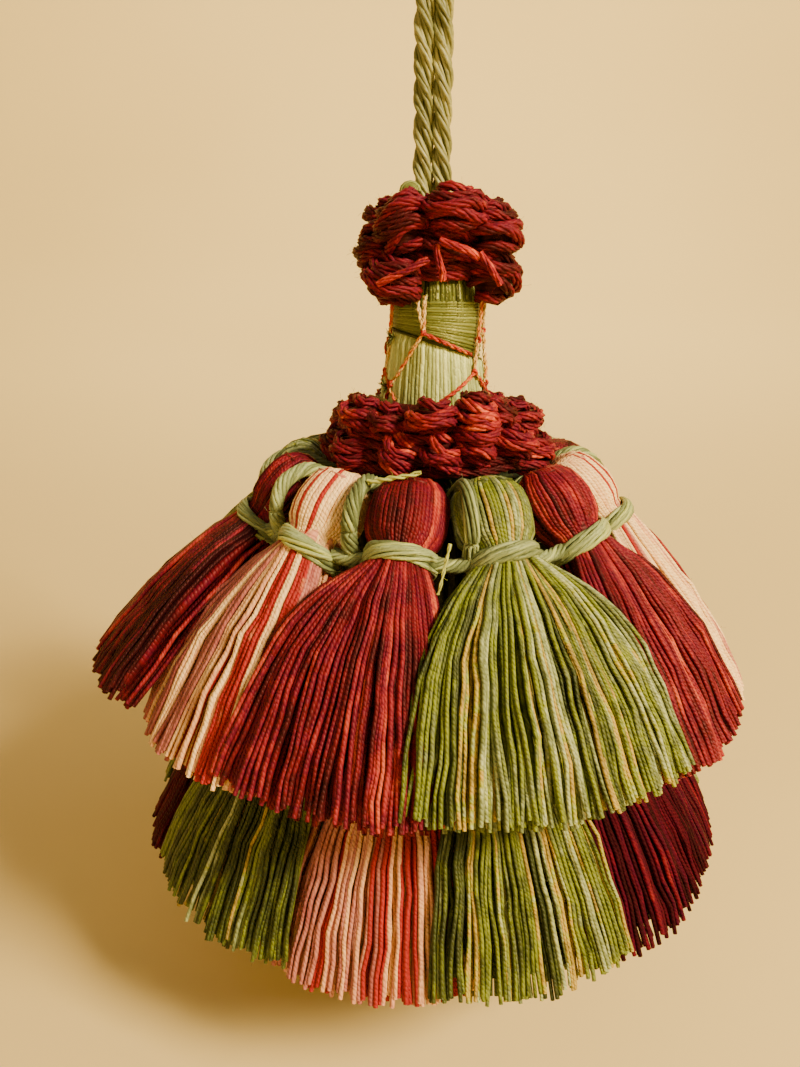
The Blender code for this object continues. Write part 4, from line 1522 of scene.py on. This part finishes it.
LOWER_RUFF = Ruff(
    node="lower_ruff", inner=0.0084, yarn=0.00072, seed=33, fuzz=(190000.0, 0.0012, 0.000013),
    core=(
        (0.0106, 0.0768, 0.0), (0.0124, 0.0780, 0.0), (0.0130, 0.0794, 0.0003),
        (0.0134, 0.0808, 0.0003), (0.0138, 0.0822, 0.0003), (0.0138, 0.0836, 0.0002),
    ),
    # Painted light and shade in the tints as well: the front lobes are made lighter and darker for
    # how the light falls on them
    lobes=(
        (-86.0, 82.2, 16.6, 3.6, 3.8, 0.0, 0.42), (-54.0, 77.2, 16.0, 3.7, 2.6, 0.0, 0.46),
        (-56.0, 82.0, 17.2, 3.7, 3.4, 4.0, 0.54), (-33.0, 77.6, 15.2, 2.6, 2.5, 8.0, 0.36),
        (-23.0, 81.9, 16.8, 3.2, 3.3, 32.0, 0.66), (-4.5, 76.6, 16.6, 3.8, 2.4, 0.0, 0.56),
        (1.5, 81.4, 17.1, 3.0, 3.1, 14.0, 0.62), (22.0, 78.6, 17.2, 3.3, 5.2, 0.0, 0.58),
        (38.0, 76.6, 15.8, 3.0, 2.3, 10.0, 0.36), (47.0, 80.6, 17.6, 3.2, 3.0, 12.0, 0.58),
        (74.0, 82.6, 17.8, 4.0, 3.5, 0.0, 0.48), (78.0, 78.2, 16.0, 3.6, 2.4, 0.0, 0.4),
        (104.0, 80.4, 16.8, 3.8, 4.6, 4.0, 0.46), (132.0, 80.2, 17.2, 3.8, 4.6, -6.0, 0.46),
        (160.0, 80.6, 16.8, 3.8, 4.8, 0.0, 0.46), (188.0, 80.2, 17.1, 3.8, 4.6, 8.0, 0.46),
        (216.0, 80.5, 16.8, 3.8, 4.8, 0.0, 0.46), (244.0, 80.4, 17.0, 3.8, 4.6, -5.0, 0.46),
    ),
)
UPPER_TIER = Tier(
    prefix="upper_tassel", ring_node="upper_tie_ring", tie=(0.0246, 0.0924),
    foot=(0.0436, 0.1160), crown=0.0109, seed=100,
    slants=(0.0007, 0.0010, 0.0003, -0.0003, -0.0007),
    cards={
        # Painted shade: the first tassel's right part, next to the cream tassel, takes the darkest
        # tint
        1: ((0.62, 0.6), (0.72, 0.3), (1.0, -0.05)),
        2: ((0.22, 0.04), (0.27, 0.45), (0.38, 0.06), (0.44, 0.42), (0.48, 0.88), (0.58, 0.52),
            (0.72, 0.88), (0.80, 0.52), (0.90, 0.86), (1.0, 0.1)),
        4: ((0.10, 0.3), (0.16, 0.08), (0.20, 0.9), (0.26, 0.62), (0.38, 0.33), (0.41, 0.82),
            (0.52, 0.68), (0.58, 0.1), (0.62, 0.92), (0.66, 0.16), (0.72, 0.9), (0.80, 0.35),
            (0.86, 0.74), (0.93, 0.3), (1.0, 0.48)),
        6: ((0.08, 0.5), (0.14, 0.9), (0.4, 0.52), (0.58, 0.15), (0.8, 0.52), (0.86, 0.9),
            (0.94, 0.5), (1.0, 0.92)),
    },
    head=(  # (distance above the tie, half width, half depth)
        (0.0104, 0.0031, 0.0023), (0.0088, 0.0046, 0.0038), (0.0058, 0.0051, 0.0046),
        (0.0030, 0.0049, 0.0043),
    ),
    around=(
        (RED, -76.0, -62.0, 0.0038), (CREAM, -41.5, -34.0, 0.0), (RED, -11.5, -3.0, 0.0),
        (GREEN, 18.0, 37.0, 0.0), (RED, 47.5, 61.0, 0.0), (CREAM, 77.0, 91.0, 0.0),
        (RED, 106.5, 118.0, 0.0), (GREEN, 137.0, 155.0, 0.0), (RED, 167.0, 181.0, 0.0),
        (CREAM, 196.0, 210.0, 0.0), (RED, 225.0, 237.0, 0.0), (GREEN, 254.0, 269.0, 0.0),
    ),
)
LOWER_TIER = Tier(
    prefix="lower_tassel", ring_node="lower_tie_ring", tie=(0.0238, 0.1163),
    foot=(0.0417, 0.1406), crown=0.0102, seed=500, painted_shade_and_reds=0.55, folds=15, threads=7,
    cards={
        2: ((0.1, 0.3), (0.34, 0.1), (0.38, 0.88), (0.48, 0.16), (0.52, 0.64), (0.7, 0.08),
            (0.76, 0.4), (1.0, 0.12)),
        3: ((0.1, 0.92), (0.3, 0.12), (0.38, 0.88), (0.54, 0.15), (0.62, 0.88), (0.68, 0.34),
            (0.75, 0.9), (0.84, 0.27), (0.95, 0.88), (1.0, 0.4)),
        4: ((0.14, 0.02), (0.2, 0.86), (0.3, 0.3), (0.34, 0.9), (0.44, 0.26), (0.48, 0.9),
            (0.54, 0.02), (0.6, 0.62), (0.7, 0.88), (0.78, 0.34), (0.84, 0.66), (0.94, 0.3),
            (1.0, 0.9)),
    },
    head=((0.0084, 0.0038, 0.0034), (0.0052, 0.0050, 0.0045)),
    around=(
        (SHADED_RED, -76.0, -62.0, 0.0), (GREEN, -46.5, -29.0, 0.0), (CREAM, -14.5, 1.0, 0.0),
        (GREEN, 16.5, 29.5, 0.0), (SHADED_RED, 45.0, 57.0, 0.0), (SHADED_RED, 74.0, 89.0, 0.0),
        (GREEN, 104.0, 119.0, 0.0), (CREAM, 134.0, 149.0, 0.0), (GREEN, 164.0, 179.0, 0.0),
        (SHADED_RED, 194.0, 209.0, 0.0), (CREAM, 224.0, 239.0, 0.0), (GREEN, 254.0, 269.0, 0.0),
    ),
)


def main() -> None:
    """Builds the camera and the cord first, then every piece from the top down."""
    logging.basicConfig(level=logging.INFO, format="%(message)s")
    studio = Studio()
    studio.add_camera()
    HangingCord().build()
    UPPER_RUFF.build()
    Neck().build()
    Net().build()
    LOWER_RUFF.build()
    upper = UPPER_TIER.build()
    Hangers().build(upper)
    LOWER_TIER.build()
    studio.build()


if __name__ == "__main__":
    main()
